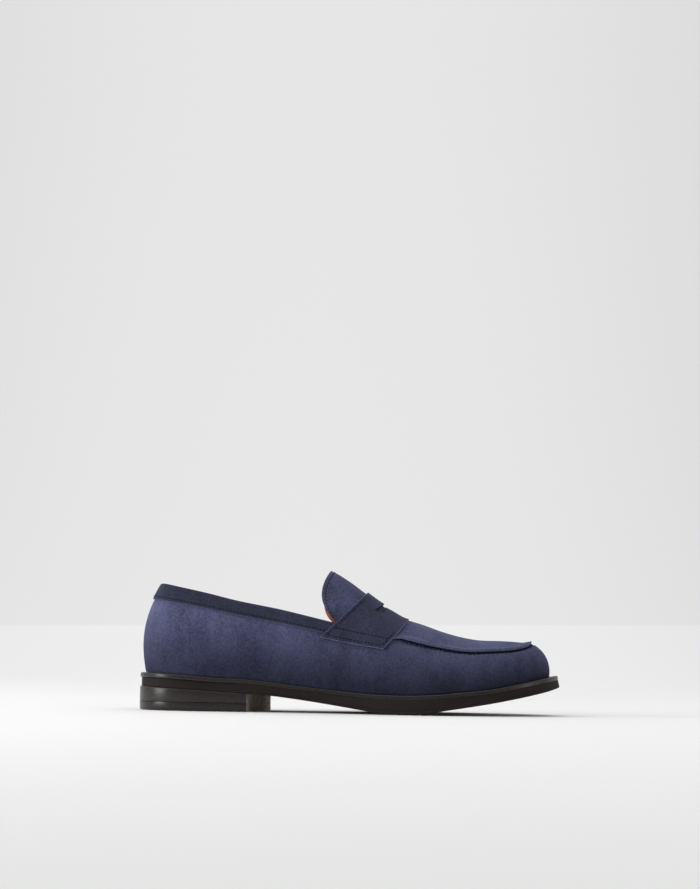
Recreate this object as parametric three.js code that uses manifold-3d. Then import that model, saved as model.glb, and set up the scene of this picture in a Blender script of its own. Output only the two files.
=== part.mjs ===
// Men's penny loafer for the right foot, built from its separate pieces.
// Millimetres. +X points to the toe, +Y to the inner side of the foot, +Z up, z = 0 is the ground.
import * as THREE from "three";
import { mergeVertices } from "three/addons/utils/BufferGeometryUtils.js";
import Module from "manifold-3d";

const wasm = await Module();
wasm.setup();

// ---- Driving dimensions ----
const GAP = 0.3;                // clearance between pieces that touch
const UPPER_THICKNESS = 1.6;    // suede of the wall, apron and tongue
const STIFFENER_THICKNESS = 0.8;
const LINING_THICKNESS = 1.0;
const COLLAR_THICKNESS = 1.2;
const STRAP_THICKNESS = 1.2;
const BACKING_THICKNESS = 0.6;
const LASTING_MARGIN = 11;      // width of the upper turned in under the insole board
const WELT_THICKNESS = 3.2;
const WELT_WIDTH = 12;
const BOARD_THICKNESS = 2.0;
const SOCK_THICKNESS = 1.2;
const PAD_THICKNESS = 2.4;
const SHANK_THICKNESS = 1.6;
const SHANK_WIDTH = 13;
const TOP_PIECE_THICKNESS = 6.2;
const BREAST_OUTER_X = -73;     // front face of the heel, at the outer side of the shoe
const BREAST_INNER_X = -57.6;   // and at the inner side: the heel is set askew
const SPREAD = 0.725;           // height on the wall, as a share of its girth, where the strap ends
const COLLAR_SHARE = 0.81;      // height on the wall where the collar band begins
const STRAP_REAR = -74;         // the strap's rear edge lies in the plane x = z + STRAP_REAR
const STRAP_FRONT_X = 22.7;     // lower front corner of the strap
const STRAP_FRONT_Z = 44.2;
const STRAP_FRONT_SLOPE = 0.83; // forward run of its front edge for each millimetre of rise
const NAIL_RADIUS = 1.1;
const NAIL_HEAD_RADIUS = 2.4;
const NAIL_LENGTH = 17;
const SEAM_SHARE = 0.975;       // height on the wall of the seam that joins the apron
const LINING_TOP_SHARE = 0.985; // height on the wall where the linings end
const BOARD_INSET = 3.4;        // edge of the insole board in from the feather edge
const SOCK_INSET = 5.2;
const PAD_INSET = 9;
const HEEL_INSET = 0.3;         // edge of the heel in from the edge of the sole
const WELT_INSET = 0.4;
const SHANK_REAR_X = -121;
const SHANK_FRONT_X = -13;
const FILLER_REAR_X = -12;
const FILLER_INSET = WELT_WIDTH + 1.2;
const REACH = 200;              // an x beyond either end of the shoe

// Heights along the shoe as [x, z]: top of the welt, underside of the sole, ridge line of the instep.
const weltTop = heightCurve([[-150, 26.4], [-130, 25.9], [-100, 24.0], [-70, 22.6], [-40, 19.4],
  [-10, 16.2], [15, 14.1], [40, 13.7], [60, 14.6], [80, 16.6], [100, 18.9], [120, 23.0], [148, 28.7]]);
const treadCurve = heightCurve([[-150, 17.0], [-100, 14.4], [-60, 11.9], [-40, 9.7], [-14, 6.1],
  [6, 3.0], [18, 1.1], [30, 0], [42, 0], [54, 1.3], [70, 4.0], [87, 6.7], [104, 9.7], [121, 13.1],
  [139, 17.2], [150, 20.3]]);
const soleUnderside = (x) => Math.max(treadCurve(x), 0);
const ridge = heightCurve([[-23, 104.6], [-15.3, 101.0], [-8.8, 97.9], [-0.1, 92.5], [8.6, 86.0],
  [17, 79.9], [23.5, 75.2], [30.4, 70.5], [36, 67.6], [43.4, 65.6], [52, 63.2], [65, 58.8], [78, 55.3],
  [91, 53.2], [108, 52.7], [128, 51.6]]);

// Stations round the upper, from the back of the heel along one side to the tip of the toe.
// Each holds the feather edge [x, y], the seam or topline above it [x, y, z], and the swell of the wall:
// how far its lower and upper half stand out, and how far down the upper swell begins.
const HEEL_STATION = { feather: [-146.3, 0], top: [-134.9, 0, 91.0], swell: [4.8, 13.6, 0.36] };
const TOE_STATION = { feather: [142.3, 2.5], top: [127.7, 1, 51.8], swell: [1.3, 11.8, 0.16] };
const OUTER_STATIONS = [
  { feather: [-142.5, -13], top: [-131.5, -7.5, 90.6], swell: [4.4, 12.5, 0.36] },
  { feather: [-131, -25], top: [-119.8, -15.5, 88.0], swell: [3.6, 10.5, 0.36] },
  { feather: [-113, -31], top: [-103, -22, 84.3], swell: [3.0, 8.5, 0.36] },
  { feather: [-83, -31.5], top: [-80.7, -26, 78.9], swell: [3.0, 7.0, 0.36] },
  { feather: [-50, -31], top: [-50, -29, 73.0], swell: [3.5, 6.5, 0.36] },
  { feather: [-21, -34], top: [-21, -31, 66.2], swell: [4.0, 6.5, 0.34] },
  { feather: [5, -39.5], top: [5, -35, 60.0], swell: [3.5, 6.5, 0.32] },
  { feather: [30, -46.5], top: [30, -38, 54.8], swell: [3.0, 8.0, 0.30] },
  { feather: [57, -49.5], top: [56, -38, 48.8], swell: [2.5, 9.0, 0.26] },
  { feather: [82, -46.5], top: [80, -36.5, 45.2], swell: [2.0, 9.0, 0.24] },
  { feather: [104, -39.5], top: [99, -31.5, 45.6], swell: [2.0, 9.0, 0.22] },
  { feather: [123.5, -29.5], top: [114.5, -24.5, 46.8], swell: [1.8, 10.0, 0.20] },
  { feather: [136.5, -15.5], top: [124, -13.5, 49.4], swell: [1.5, 11.2, 0.18] },
];
const INNER_STATIONS = [
  { feather: [-142.5, 13], top: [-131.5, 7.5, 90.6], swell: [4.4, 12.5, 0.36] },
  { feather: [-131, 25], top: [-119.8, 15.5, 88.0], swell: [3.6, 10.5, 0.36] },
  { feather: [-113, 31], top: [-103, 22, 84.3], swell: [3.0, 8.5, 0.36] },
  { feather: [-83, 31], top: [-80.7, 26, 78.9], swell: [3.0, 7.0, 0.36] },
  { feather: [-50, 28.5], top: [-50, 28.5, 73.0], swell: [4.0, 6.0, 0.36] },
  { feather: [-21, 28.5], top: [-21, 29.5, 66.2], swell: [5.0, 5.5, 0.34] },
  { feather: [5, 33.5], top: [5, 32.5, 60.0], swell: [4.5, 6.0, 0.32] },
  { feather: [32, 42.5], top: [30, 35.5, 54.8], swell: [3.5, 8.0, 0.30] },
  { feather: [60, 48.5], top: [56, 37, 48.8], swell: [2.5, 9.0, 0.26] },
  { feather: [86, 46.5], top: [80, 36.5, 45.2], swell: [2.0, 9.0, 0.24] },
  { feather: [107, 41], top: [100, 32, 45.6], swell: [2.0, 9.0, 0.22] },
  { feather: [125.5, 32], top: [115, 25.5, 46.8], swell: [1.8, 10.0, 0.20] },
  { feather: [137, 19], top: [124, 15, 49.4], swell: [1.5, 11.2, 0.18] },
];
// Edge of the sole in plan, from the back of the heel to the toe.
const SOLE_OUTER_SIDE = [[-150.6, 0], [-147, -14], [-135, -27], [-116, -33.2], [-80, -33.4], [-45, -33],
  [-18, -36.5], [6, -43], [30, -50.3], [57, -53], [83, -50], [106, -43], [127.5, -32], [142.5, -17],
  [149.8, 3]];
const SOLE_INNER_SIDE = [[-150.6, 0], [-147, 14], [-135, 27], [-116, 33.2], [-80, 33], [-45, 30],
  [-18, 30.5], [6, 36.5], [34, 46], [62, 52], [88, 50.5], [110, 44.5], [129.5, 35], [143.5, 21], [149.8, 3]];

// ---- Curves and surfaces ----

// A smooth height z(x) through [x, z] points.
function heightCurve(points) {
  const last = points.length - 1;
  const slopes = points.map((_, i) => {
    const before = points[Math.max(i - 1, 0)];
    const after = points[Math.min(i + 1, last)];
    return (after[1] - before[1]) / (after[0] - before[0]);
  });
  return (x) => {
    const next = Math.min(Math.max(points.findIndex((point) => point[0] > x), 1) || last, last);
    const i = x >= points[last][0] ? last - 1 : next - 1;
    const width = points[i + 1][0] - points[i][0];
    const t = (x - points[i][0]) / width;
    const rise = points[i + 1][1] - points[i][1];
    const inside = t * t * (3 - 2 * t) * rise;
    const bend = (t ** 3 - 2 * t * t + t) * slopes[i] * width + (t ** 3 - t * t) * slopes[i + 1] * width;
    return points[i][1] + inside + bend;
  };
}

const STATIONS = [HEEL_STATION, ...OUTER_STATIONS, TOE_STATION, ...INNER_STATIONS.slice().reverse()];
const ROUND = STATIONS.length;            // stations are counted 0 to ROUND round the shoe
const TOE = OUTER_STATIONS.length + 1;    // number of the toe's station
const loop = (pick) => new THREE.CatmullRomCurve3(STATIONS.map((row) => new THREE.Vector3(...pick(row))), true);
const featherLoop = loop((row) => [row.feather[0], row.feather[1], 0]);
const topLoop = loop((row) => row.top);
const swellLoop = loop((row) => row.swell);
const at = (curve, station) => curve.getPoint((((station % ROUND) + ROUND) % ROUND) / ROUND);

function bezier(a, b, c, d, t) {
  const s = 1 - t;
  return a.clone().multiplyScalar(s ** 3)
    .addScaledVector(b, 3 * s * s * t)
    .addScaledVector(c, 3 * s * t * t)
    .addScaledVector(d, t ** 3);
}

// Horizontal direction that points out of the shoe at a station.
function outward(station) {
  const ahead = at(featherLoop, station + 0.02).sub(at(featherLoop, station - 0.02)).normalize();
  return new THREE.Vector3(ahead.y, -ahead.x, 0);
}

// Outer surface of the wall: share 0 is the feather edge, 1 the seam or topline, below 0 the lasting margin.
function wall(station, share) {
  const foot = at(featherLoop, station);
  foot.z = weltTop(foot.x) + GAP;
  const out = outward(station);
  if (share < 0) {
    foot.addScaledVector(out, share * LASTING_MARGIN);
    return foot.setZ(weltTop(foot.x) + GAP);
  }
  const top = at(topLoop, station);
  const swell = at(swellLoop, station);
  const height = top.z - foot.z;
  const low = foot.clone().addScaledVector(out, swell.x);
  low.z += 0.36 * height;
  const high = top.clone().addScaledVector(out, swell.y);
  high.z -= swell.z * height;
  return bezier(foot, low, high, top, share);
}

// Station on the outer side (side = -1) or inner side (side = 1) whose top lies at x.
function stationAt(x, side) {
  let rear = 0;
  let front = TOE;
  for (let step = 0; step < 40; step++) {
    const middle = (rear + front) / 2;
    const found = at(topLoop, side < 0 ? middle : ROUND - middle).x;
    if (found < x) rear = middle;
    else front = middle;
  }
  return side < 0 ? rear : ROUND - rear;
}

// Outer surface of the instep and apron at x: across runs from -1 at the outer seam to 1 at the inner seam.
function crown(x, across) {
  const edge = at(topLoop, stationAt(x, across < 0 ? -1 : 1));
  const other = at(topLoop, stationAt(x, across < 0 ? 1 : -1));
  const centre = new THREE.Vector3(x, (edge.y + other.y) / 2, ridge(x));
  const rise = centre.z - edge.z;
  const reach = edge.y - centre.y;
  const steep = Math.min(Math.abs(rise / (reach + 0.001)), 1);
  const nearEdge = new THREE.Vector3(x, edge.y - reach * (0.33 - 0.2 * steep), edge.z + rise * 0.5);
  const nearCentre = new THREE.Vector3(x, centre.y + reach * 0.42, centre.z);
  return bezier(centre, nearCentre, nearEdge, new THREE.Vector3(x, edge.y, edge.z), Math.abs(across));
}

// Section over the instep at x from the strap's end on the outer side (-1) to its end on the inner side (1).
function girth(x, around) {
  const side = around < 0 ? -1 : 1;
  const seam = 0.78;
  const distance = Math.abs(around);
  if (distance <= seam) return crown(x, around / seam);
  return wall(stationAt(x, side), 1 - (1 - SPREAD) * (distance - seam) / (1 - seam));
}

// The x on one girth line where the surface meets a slanted edge x = edge(z).
function edgeX(surface, around, edge, start) {
  let x = start;
  for (let step = 0; step < 60; step++) {
    x += 0.4 * (edge(surface(x, around).z) - x);
  }
  return x;
}

// Move a point of surface(u, v) along the surface normal.
function offset(surface, u, v, distance, du, dv) {
  const alongU = surface(u + du, v).sub(surface(u - du, v));
  const alongV = surface(u, v + dv).sub(surface(u, v - dv));
  return surface(u, v).addScaledVector(alongU.cross(alongV).normalize(), distance);
}

const range = (from, to, steps) => Array.from({ length: steps + 1 }, (_, i) => from + (to - from) * i / steps);

// ---- Solids ----

// Closed body between an outer and an inner grid of points; closed = true joins its last row to the first.
function between(outer, inner, closed = false) {
  const rows = outer.length;
  const columns = outer[0].length;
  const positions = [...outer.flat(), ...inner.flat()].flatMap((point) => [point.x, point.y, point.z]);
  const index = [];
  const id = (layer, i, j) => layer * rows * columns + (i % rows) * columns + j;
  const quad = (a, b, c, d) => index.push(a, b, c, a, c, d);
  for (let i = 0; i < (closed ? rows : rows - 1); i++) {
    for (let j = 0; j < columns - 1; j++) {
      quad(id(0, i, j), id(0, i + 1, j), id(0, i + 1, j + 1), id(0, i, j + 1));
      quad(id(1, i, j), id(1, i, j + 1), id(1, i + 1, j + 1), id(1, i + 1, j));
    }
    quad(id(0, i, 0), id(1, i, 0), id(1, i + 1, 0), id(0, i + 1, 0));
    quad(id(0, i, columns - 1), id(0, i + 1, columns - 1), id(1, i + 1, columns - 1), id(1, i, columns - 1));
  }
  for (let j = 0; j < columns - 1 && !closed; j++) {
    const last = rows - 1;
    quad(id(0, 0, j), id(0, 0, j + 1), id(1, 0, j + 1), id(1, 0, j));
    quad(id(0, last, j), id(1, last, j), id(1, last, j + 1), id(0, last, j + 1));
  }
  const geometry = new THREE.BufferGeometry();
  geometry.setAttribute("position", new THREE.Float32BufferAttribute(positions, 3));
  geometry.setIndex(index);
  return withoutSlivers(mergeVertices(geometry, 0.001));
}

// Drop the triangles that closed to a line where an outline comes to a point.
function withoutSlivers(geometry) {
  const kept = [];
  const index = geometry.index.array;
  for (let i = 0; i < index.length; i += 3) {
    const [a, b, c] = [index[i], index[i + 1], index[i + 2]];
    if (a !== b && b !== c && c !== a) kept.push(a, b, c);
  }
  geometry.setIndex(kept);
  return geometry;
}

// Sheet on a surface(u, v): places is a grid of [u, v], lying between two distances from the surface.
function sheet(surface, places, outerDistance, innerDistance, du, dv) {
  const layer = (distance) => places.map((row) => row.map(([u, v]) => offset(surface, u, v, distance, du, dv)));
  return between(layer(outerDistance), layer(innerDistance));
}
const wallSheet = (places, outer, inner) => sheet(wall, places, outer, inner, 0.02, 0.01);
const crownSheet = (places, outer, inner) => sheet(crown, places, outer, inner, 0.5, 0.02);
const girthSheet = (places, outer, inner) => sheet(girth, places, outer, inner, 0.5, 0.01);

// Band of the wall from one station to another, between two shares of its height.
function band(fromStation, toStation, steps, lowShare, highShare, rows, outer, inner) {
  const places = range(fromStation, toStation, steps)
    .map((station) => range(lowShare(station), highShare, rows).map((share) => [station, share]));
  return wallSheet(places, outer, inner);
}

// Share of the wall's height that lies a given height above the welt.
function shareAbove(rise) {
  return (station) => {
    let low = 0;
    let high = 0.6;
    for (let step = 0; step < 30; step++) {
      const middle = (low + high) / 2;
      const point = wall(station, middle);
      if (point.z - weltTop(point.x) < rise) low = middle;
      else high = middle;
    }
    return low;
  };
}

// Plan outline of the feather edge or the sole, moved inwards by inset: sorted points for each side.
function planOutline(curveAt, inset, steps) {
  const side = (from, to) => range(from, to, steps).map((place) => {
    const ahead = curveAt(place + 0.01).sub(curveAt(place - 0.01)).normalize();
    return curveAt(place).add(new THREE.Vector3(-ahead.y * inset, ahead.x * inset, 0));
  });
  return { outer: side(0, 0.5), inner: side(1, 0.5) };
}
const featherAt = (place) => at(featherLoop, place * ROUND).setZ(0);
const soleLoop = new THREE.CatmullRomCurve3(
  [...SOLE_OUTER_SIDE, ...SOLE_INNER_SIDE.slice(1, -1).reverse()].map(([x, y]) => new THREE.Vector3(x, y, 0)),
  true);
const soleAt = (place) => soleLoop.getPoint(((place % 1) + 1) % 1);

// y of an outline side at x, between its sorted points.
function sideY(points, x) {
  const next = points.findIndex((point) => point.x > x);
  if (next < 0) return points[points.length - 1].y;
  if (next === 0) return points[0].y;
  const a = points[next - 1];
  const b = points[next];
  return a.y + (b.y - a.y) * (x - a.x) / (b.x - a.x);
}

// Values from a to b that crowd together at both ends, where an outline turns round.
const crowded = (a, b, steps) => range(0, Math.PI, steps).map((angle) => a + (b - a) * (1 - Math.cos(angle)) / 2);

// Flat-section plate inside an outline from x = rear to x = front, between two heights z(x).
function plate(outline, rear, front, steps, low, high) {
  const tip = 0.4;
  const first = Math.max(rear, outline.outer[0].x + tip);
  const last = Math.min(front, outline.outer[outline.outer.length - 1].x - tip);
  const layer = (height) => crowded(first, last, steps).map((x) => [
    new THREE.Vector3(x, sideY(outline.outer, x), height(x)),
    new THREE.Vector3(x, sideY(outline.inner, x), height(x)),
  ]);
  return between(layer(high), layer(low));
}

// Heel layer: follows the sole's edge back from the skewed breast.
function heelLayer(inset, low, high) {
  const outline = planOutline(soleAt, inset, 160);
  const back = outline.outer[0].x + 0.4;
  const shares = range(0, 1, 14).map((t) => 1 - Math.cos(t * Math.PI / 2));
  const layer = (height) => shares.map((t) => {
    const outerX = back + (BREAST_OUTER_X - back) * t;
    const innerX = back + (BREAST_INNER_X - back) * t;
    return [
      new THREE.Vector3(outerX, sideY(outline.outer, outerX), height(outerX)),
      new THREE.Vector3(innerX, sideY(outline.inner, innerX), height(innerX)),
    ];
  });
  return between(layer(high), layer(low));
}

function toManifold(geometry) {
  const bare = new THREE.BufferGeometry();
  bare.setAttribute("position", geometry.getAttribute("position").clone());
  if (geometry.index) bare.setIndex(geometry.index.clone());
  const merged = mergeVertices(bare, 0.0001);
  return new wasm.Manifold(new wasm.Mesh({
    numProp: 3,
    vertProperties: new Float32Array(merged.getAttribute("position").array),
    triVerts: new Uint32Array(merged.index.array),
  }));
}

function cut(geometry, tools) {
  let solid = toManifold(geometry);
  for (const tool of tools) solid = solid.subtract(toManifold(tool));
  const mesh = solid.getMesh();
  const result = new THREE.BufferGeometry();
  result.setAttribute("position", new THREE.BufferAttribute(mesh.vertProperties, 3));
  result.setIndex(new THREE.BufferAttribute(mesh.triVerts, 1));
  return result;
}

// ---- Materials ----
const suede = { color: 0x3a3c58, roughness: 0.95, metalness: 0 };
const darkSuede = { color: 0x2f3247, roughness: 0.95, metalness: 0 };
const liningLeather = { color: 0xa9592a, roughness: 0.6, metalness: 0 };
const stiffener = { color: 0xb9a98c, roughness: 0.9, metalness: 0 };
const board = { color: 0x9a7a55, roughness: 0.9, metalness: 0 };
const foam = { color: 0xd8cfa8, roughness: 0.9, metalness: 0 };
const cork = { color: 0x9c7048, roughness: 0.95, metalness: 0 };
const steel = { color: 0x9fa3a8, roughness: 0.35, metalness: 1 };
const soleRubber = { color: 0x272425, roughness: 0.55, metalness: 0 };
const weltLeather = { color: 0x3b3635, roughness: 0.5, metalness: 0 };
const thread = { color: 0x2b3050, roughness: 0.8, metalness: 0 };

const shoe = new THREE.Group();
function piece(name, geometry, look, parent = shoe) {
  const mesh = new THREE.Mesh(geometry, new THREE.MeshStandardMaterial(look));
  mesh.name = name;
  parent.add(mesh);
  return mesh;
}

// ---- Upper ----
const SEAM_GAP = 0.012;        // half the opening of the back seam, in stations
const LINING_OUT = -(UPPER_THICKNESS + STIFFENER_THICKNESS + 2 * GAP + 0.1);
const LINING_IN = LINING_OUT - LINING_THICKNESS;
const PAD_REAR_X = -138;
const PAD_FRONT_X = -82;
const strapRear = (z) => z + STRAP_REAR;
const strapFront = (z) => STRAP_FRONT_X + (z - STRAP_FRONT_Z) * STRAP_FRONT_SLOPE;

function upperWall() {
  const shares = [-1, 0, 0.1, 0.25, 0.4, 0.55, 0.7, 0.85, SEAM_SHARE];
  const places = range(SEAM_GAP, ROUND - SEAM_GAP, 2 * ROUND)
    .map((station) => shares.map((share) => [station, share]));
  return wallSheet(places, 0, -UPPER_THICKNESS);
}

// The apron begins under the strap, a little in front of the tongue's end, and comes to the toe seam.
function apronPlaces(rearShift, toeX, widest, steps) {
  const rows = range(0, 1, steps).map((t) => Math.sin(t * Math.PI / 2));
  const columns = range(-widest, widest, 12);
  return rows.map((t) => columns.map((across) => {
    const start = edgeX(crown, across, (z) => strapRear(z) + rearShift, 10);
    return [start + (toeX - start) * t, across];
  }));
}

// A strip that lies in the groove between apron and wall, from strap to strap round the toe.
function seamThread() {
  const radius = 0.5;
  const stations = range(8.2, ROUND - 8.2, 44);
  const path = new THREE.CatmullRomCurve3(
    stations.map((station) => offset(wall, station, SEAM_SHARE, radius + GAP + 0.1, 0.02, 0.01)));
  const section = new THREE.Shape();
  for (let corner = 0; corner < 5; corner++) {
    const angle = corner * 2 * Math.PI / 5;
    section[corner ? "lineTo" : "moveTo"](radius * Math.cos(angle), radius * Math.sin(angle));
  }
  section.closePath();
  return new THREE.ExtrudeGeometry(section, { steps: 66, extrudePath: path });
}

function strapPlaces(endShare) {
  const turns = range(-endShare, endShare, 24);
  const rears = turns.map((around) => edgeX(girth, around, strapRear, 0));
  const fronts = turns.map((around) => edgeX(girth, around, strapFront, 30));
  return range(0, 1, 6).map((t) => turns.map((around, j) => [rears[j] + (fronts[j] - rears[j]) * t, around]));
}

// Slot for the coin, the same on both sides of the middle: [x, y] along its rear and its front lip.
const SLOT_REAR = [[22.2, 0], [21.8, 6.4], [20.4, 15.2], [18.3, 20], [16, 24.7]];
const SLOT_FRONT = [[24.3, 0], [24, 8], [23.2, 15.1], [22, 21.6], [18.9, 23.9], [16.4, 24.7]];
function coinSlot() {
  const bothSides = (lip) => [
    ...lip.slice(1).reverse().map(([x, y]) => new THREE.Vector2(x, -y)),
    ...lip.map(([x, y]) => new THREE.Vector2(x, y)),
  ];
  const shape = new THREE.Shape([...bothSides(SLOT_FRONT), ...bothSides(SLOT_REAR).reverse()]);
  const slot = new THREE.ExtrudeGeometry(shape, { depth: 60, bevelEnabled: false });
  slot.translate(0, 0, 40);
  return slot;
}

// The tongue's free edge in side view: a round lobe with its tip on top.
const LOBE_Z = 84;
const lobe = (z) => -21.3 + (z > LOBE_Z ? 6.2 * ((z - LOBE_Z) / 17) ** 2 : 9.6 * ((LOBE_Z - z) / 18.5) ** 2);
function tonguePlaces(widest, tuck, trim) {
  const columns = range(-widest, widest, 16);
  const rears = columns.map((across) => edgeX(crown, across, lobe, -20) + trim);
  const fronts = columns.map((across) => edgeX(crown, across, strapRear, 0) + tuck);
  return range(0, 1, 6).map((t) => columns.map((across, j) => [rears[j] + (fronts[j] - rears[j]) * t, across]));
}

// Front end of a side collar: it butts against the strap's rear edge.
function collarPlaces(rear, side) {
  const shares = [COLLAR_SHARE, 0.88, 0.95, 1];
  const ends = shares.map((share) => {
    let station = 7;
    for (let step = 0; step < 60; step++) {
      const point = wall(side < 0 ? station : ROUND - station, share);
      station += 0.02 * (strapRear(point.z) - 1.5 - point.x);
    }
    return station;
  });
  const rows = range(0, 1, 12).map((t) => shares.map((share, j) => {
    const station = rear + (ends[j] - rear) * t;
    return [side < 0 ? station : ROUND - station, share];
  }));
  return side < 0 ? rows : rows.reverse();
}

const COLLAR_JOIN = 3.35;      // station of the slanted join between heel and side collars
const LINING_JOIN = 3.5;       // station where heel grip and quarter linings meet
const VAMP_JOIN = 8.5;         // station where quarter and vamp linings meet
const JOIN = 0.04;             // half the gap at a join, in stations
const aboveBoard = shareAbove(BOARD_THICKNESS + UPPER_THICKNESS + 4 * GAP);
const aboveMargin = shareAbove(UPPER_THICKNESS + 3 * GAP);

function liningBand(from, to, steps, top) {
  return band(from, to, steps, aboveBoard, top, 5, LINING_OUT, LINING_IN);
}

function collarBand(from, to, steps) {
  return band(from, to, steps, () => COLLAR_SHARE, 1, 3, GAP + COLLAR_THICKNESS, GAP);
}

piece("upper_wall", upperWall(), suede);
piece("apron", crownSheet(apronPlaces(12.5, 126.3, 0.96, 20), 0, -UPPER_THICKNESS), suede);
piece("apron_seam_thread", seamThread(), thread);
const strapBase = GAP + BACKING_THICKNESS;
piece("strap_backing", girthSheet(strapPlaces(0.985), strapBase, GAP), darkSuede);
piece("saddle_strap",
  cut(girthSheet(strapPlaces(1), strapBase + GAP + STRAP_THICKNESS, strapBase + GAP), [coinSlot()]), darkSuede);
piece("collar_outer_side",
  wallSheet(collarPlaces(COLLAR_JOIN + JOIN, -1), GAP + COLLAR_THICKNESS, GAP), darkSuede);
piece("collar_inner_side",
  wallSheet(collarPlaces(COLLAR_JOIN + JOIN, 1), GAP + COLLAR_THICKNESS, GAP), darkSuede);
piece("collar_heel", collarBand(-COLLAR_JOIN + JOIN, COLLAR_JOIN - JOIN, 16), darkSuede);
piece("heel_counter", band(-4.5, 4.5, 18, aboveMargin, 0.72, 5,
  -(UPPER_THICKNESS + GAP), -(UPPER_THICKNESS + GAP + STIFFENER_THICKNESS)), stiffener);
piece("toe_puff", band(TOE - 3, TOE + 3, 12, aboveMargin, 0.82, 5,
  -(UPPER_THICKNESS + GAP), -(UPPER_THICKNESS + GAP + STIFFENER_THICKNESS)), stiffener);
piece("heel_grip", liningBand(-LINING_JOIN + JOIN, LINING_JOIN - JOIN, 14, LINING_TOP_SHARE), liningLeather);
piece("quarter_lining_outer_side",
  liningBand(LINING_JOIN + JOIN, VAMP_JOIN - JOIN, 10, LINING_TOP_SHARE), liningLeather);
piece("quarter_lining_inner_side",
  liningBand(ROUND - VAMP_JOIN + JOIN, ROUND - LINING_JOIN - JOIN, 10, LINING_TOP_SHARE), liningLeather);
piece("vamp_lining", liningBand(VAMP_JOIN + JOIN, ROUND - VAMP_JOIN - JOIN, 22, 0.92), liningLeather);
piece("apron_lining", crownSheet(apronPlaces(22, 118, 0.84, 12), LINING_OUT, LINING_IN), liningLeather);

// ---- Tongue: a body of its own that lifts about the strap's rear edge ----
const tongue = new THREE.Group();
shoe.add(tongue);
piece("tongue", crownSheet(tonguePlaces(0.93, -1, 0), 0, -UPPER_THICKNESS), suede, tongue);
piece("tongue_lining", crownSheet(tonguePlaces(0.9, -2, -1.2), -(UPPER_THICKNESS + GAP),
  -(UPPER_THICKNESS + GAP + LINING_THICKNESS)), liningLeather, tongue);

// ---- Bottom ----
const marginTop = (x) => weltTop(x) + 2 * GAP + UPPER_THICKNESS;
const boardTop = (x) => marginTop(x) + BOARD_THICKNESS;
const padTop = (x) => boardTop(x) + GAP + PAD_THICKNESS;
const weltBottom = (x) => weltTop(x) - WELT_THICKNESS;
const soleTop = (x) => weltBottom(x) - GAP;
// The sock liner climbs over the heel pad.
const sockBottom = (x) => {
  const t = THREE.MathUtils.smoothstep(-x, -(PAD_FRONT_X + 26), -(PAD_FRONT_X + 1));
  return boardTop(x) + GAP + t * (PAD_THICKNESS + GAP);
};
const NAILS = [[-127, -12], [-127, 12], [-98, -15], [-98, 15]];

// Upright turned body from a profile of [radius, z] points.
function turned(profile, x, y, top) {
  const body = new THREE.LatheGeometry(profile.map(([r, z]) => new THREE.Vector2(r, z)), 8);
  body.rotateX(Math.PI / 2);
  body.translate(x, y, top);
  return body;
}

function nail([x, y]) {
  const profile = [[0, -NAIL_LENGTH], [NAIL_RADIUS, -NAIL_LENGTH + 2], [NAIL_RADIUS, -1],
    [NAIL_HEAD_RADIUS, -0.6], [NAIL_HEAD_RADIUS, 0], [0, 0]];
  return turned(profile, x, y, boardTop(x) - 0.2);
}

function nailHole([x, y]) {
  const [shaft, head] = [NAIL_RADIUS + GAP, NAIL_HEAD_RADIUS + GAP];
  const profile = [[0, -NAIL_LENGTH - 1], [shaft, -NAIL_LENGTH - 1], [shaft, -1.4], [head, -1.3],
    [head, 1], [0, 1]];
  return turned(profile, x, y, boardTop(x));
}

function welt() {
  const ring = (inset, height) => range(0, 1, 72).slice(0, -1).map((place) => {
    const ahead = soleAt(place + 0.01).sub(soleAt(place - 0.01)).normalize();
    const point = soleAt(place).add(new THREE.Vector3(-ahead.y * inset, ahead.x * inset, 0));
    return point.setZ(height(point.x));
  });
  const layer = (height) => {
    const edge = ring(WELT_INSET, height);
    const inside = ring(WELT_WIDTH, height);
    return edge.map((point, i) => [point, inside[i]]);
  };
  return between(layer(weltTop), layer(weltBottom), true);
}

const holes = NAILS.map(nailHole);
const feather = (inset) => planOutline(featherAt, inset, 120);
const shankSide = (y) => [new THREE.Vector3(SHANK_REAR_X, y, 0), new THREE.Vector3(0, y, 0)];
const shankOutline = { outer: shankSide(-SHANK_WIDTH / 2), inner: shankSide(SHANK_WIDTH / 2) };
const underBoard = (x) => weltTop(x) - 0.2;
piece("welt", welt(), weltLeather);
piece("outsole",
  cut(plate(planOutline(soleAt, 0, 160), -REACH, REACH, 64, soleUnderside, soleTop), holes), soleRubber);
piece("bottom_filler",
  plate(planOutline(soleAt, FILLER_INSET, 120), FILLER_REAR_X, REACH, 24, weltBottom, underBoard), cork);
piece("shank",
  plate(shankOutline, -REACH, SHANK_FRONT_X, 12, (x) => underBoard(x) - SHANK_THICKNESS, underBoard), steel);
piece("insole_board", cut(plate(feather(BOARD_INSET), -REACH, REACH, 40, marginTop, boardTop), holes), board);
piece("heel_pad",
  plate(feather(PAD_INSET), PAD_REAR_X, PAD_FRONT_X, 16, (x) => boardTop(x) + GAP, padTop), foam);
piece("sock_liner", plate(feather(SOCK_INSET), -REACH, REACH, 44, sockBottom,
  (x) => sockBottom(x) + SOCK_THICKNESS), liningLeather);
piece("heel_block",
  cut(heelLayer(HEEL_INSET, () => TOP_PIECE_THICKNESS + GAP, (x) => soleUnderside(x) - GAP), holes), soleRubber);
piece("heel_top_piece", heelLayer(HEEL_INSET, () => 0, () => TOP_PIECE_THICKNESS), soleRubber);
NAILS.forEach((place, i) => piece(`heel_nail_${i + 1}`, nail(place), steel));

export default shoe;
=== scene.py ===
import math
import bpy
import numpy as np
from mathutils import Matrix, Vector


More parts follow.
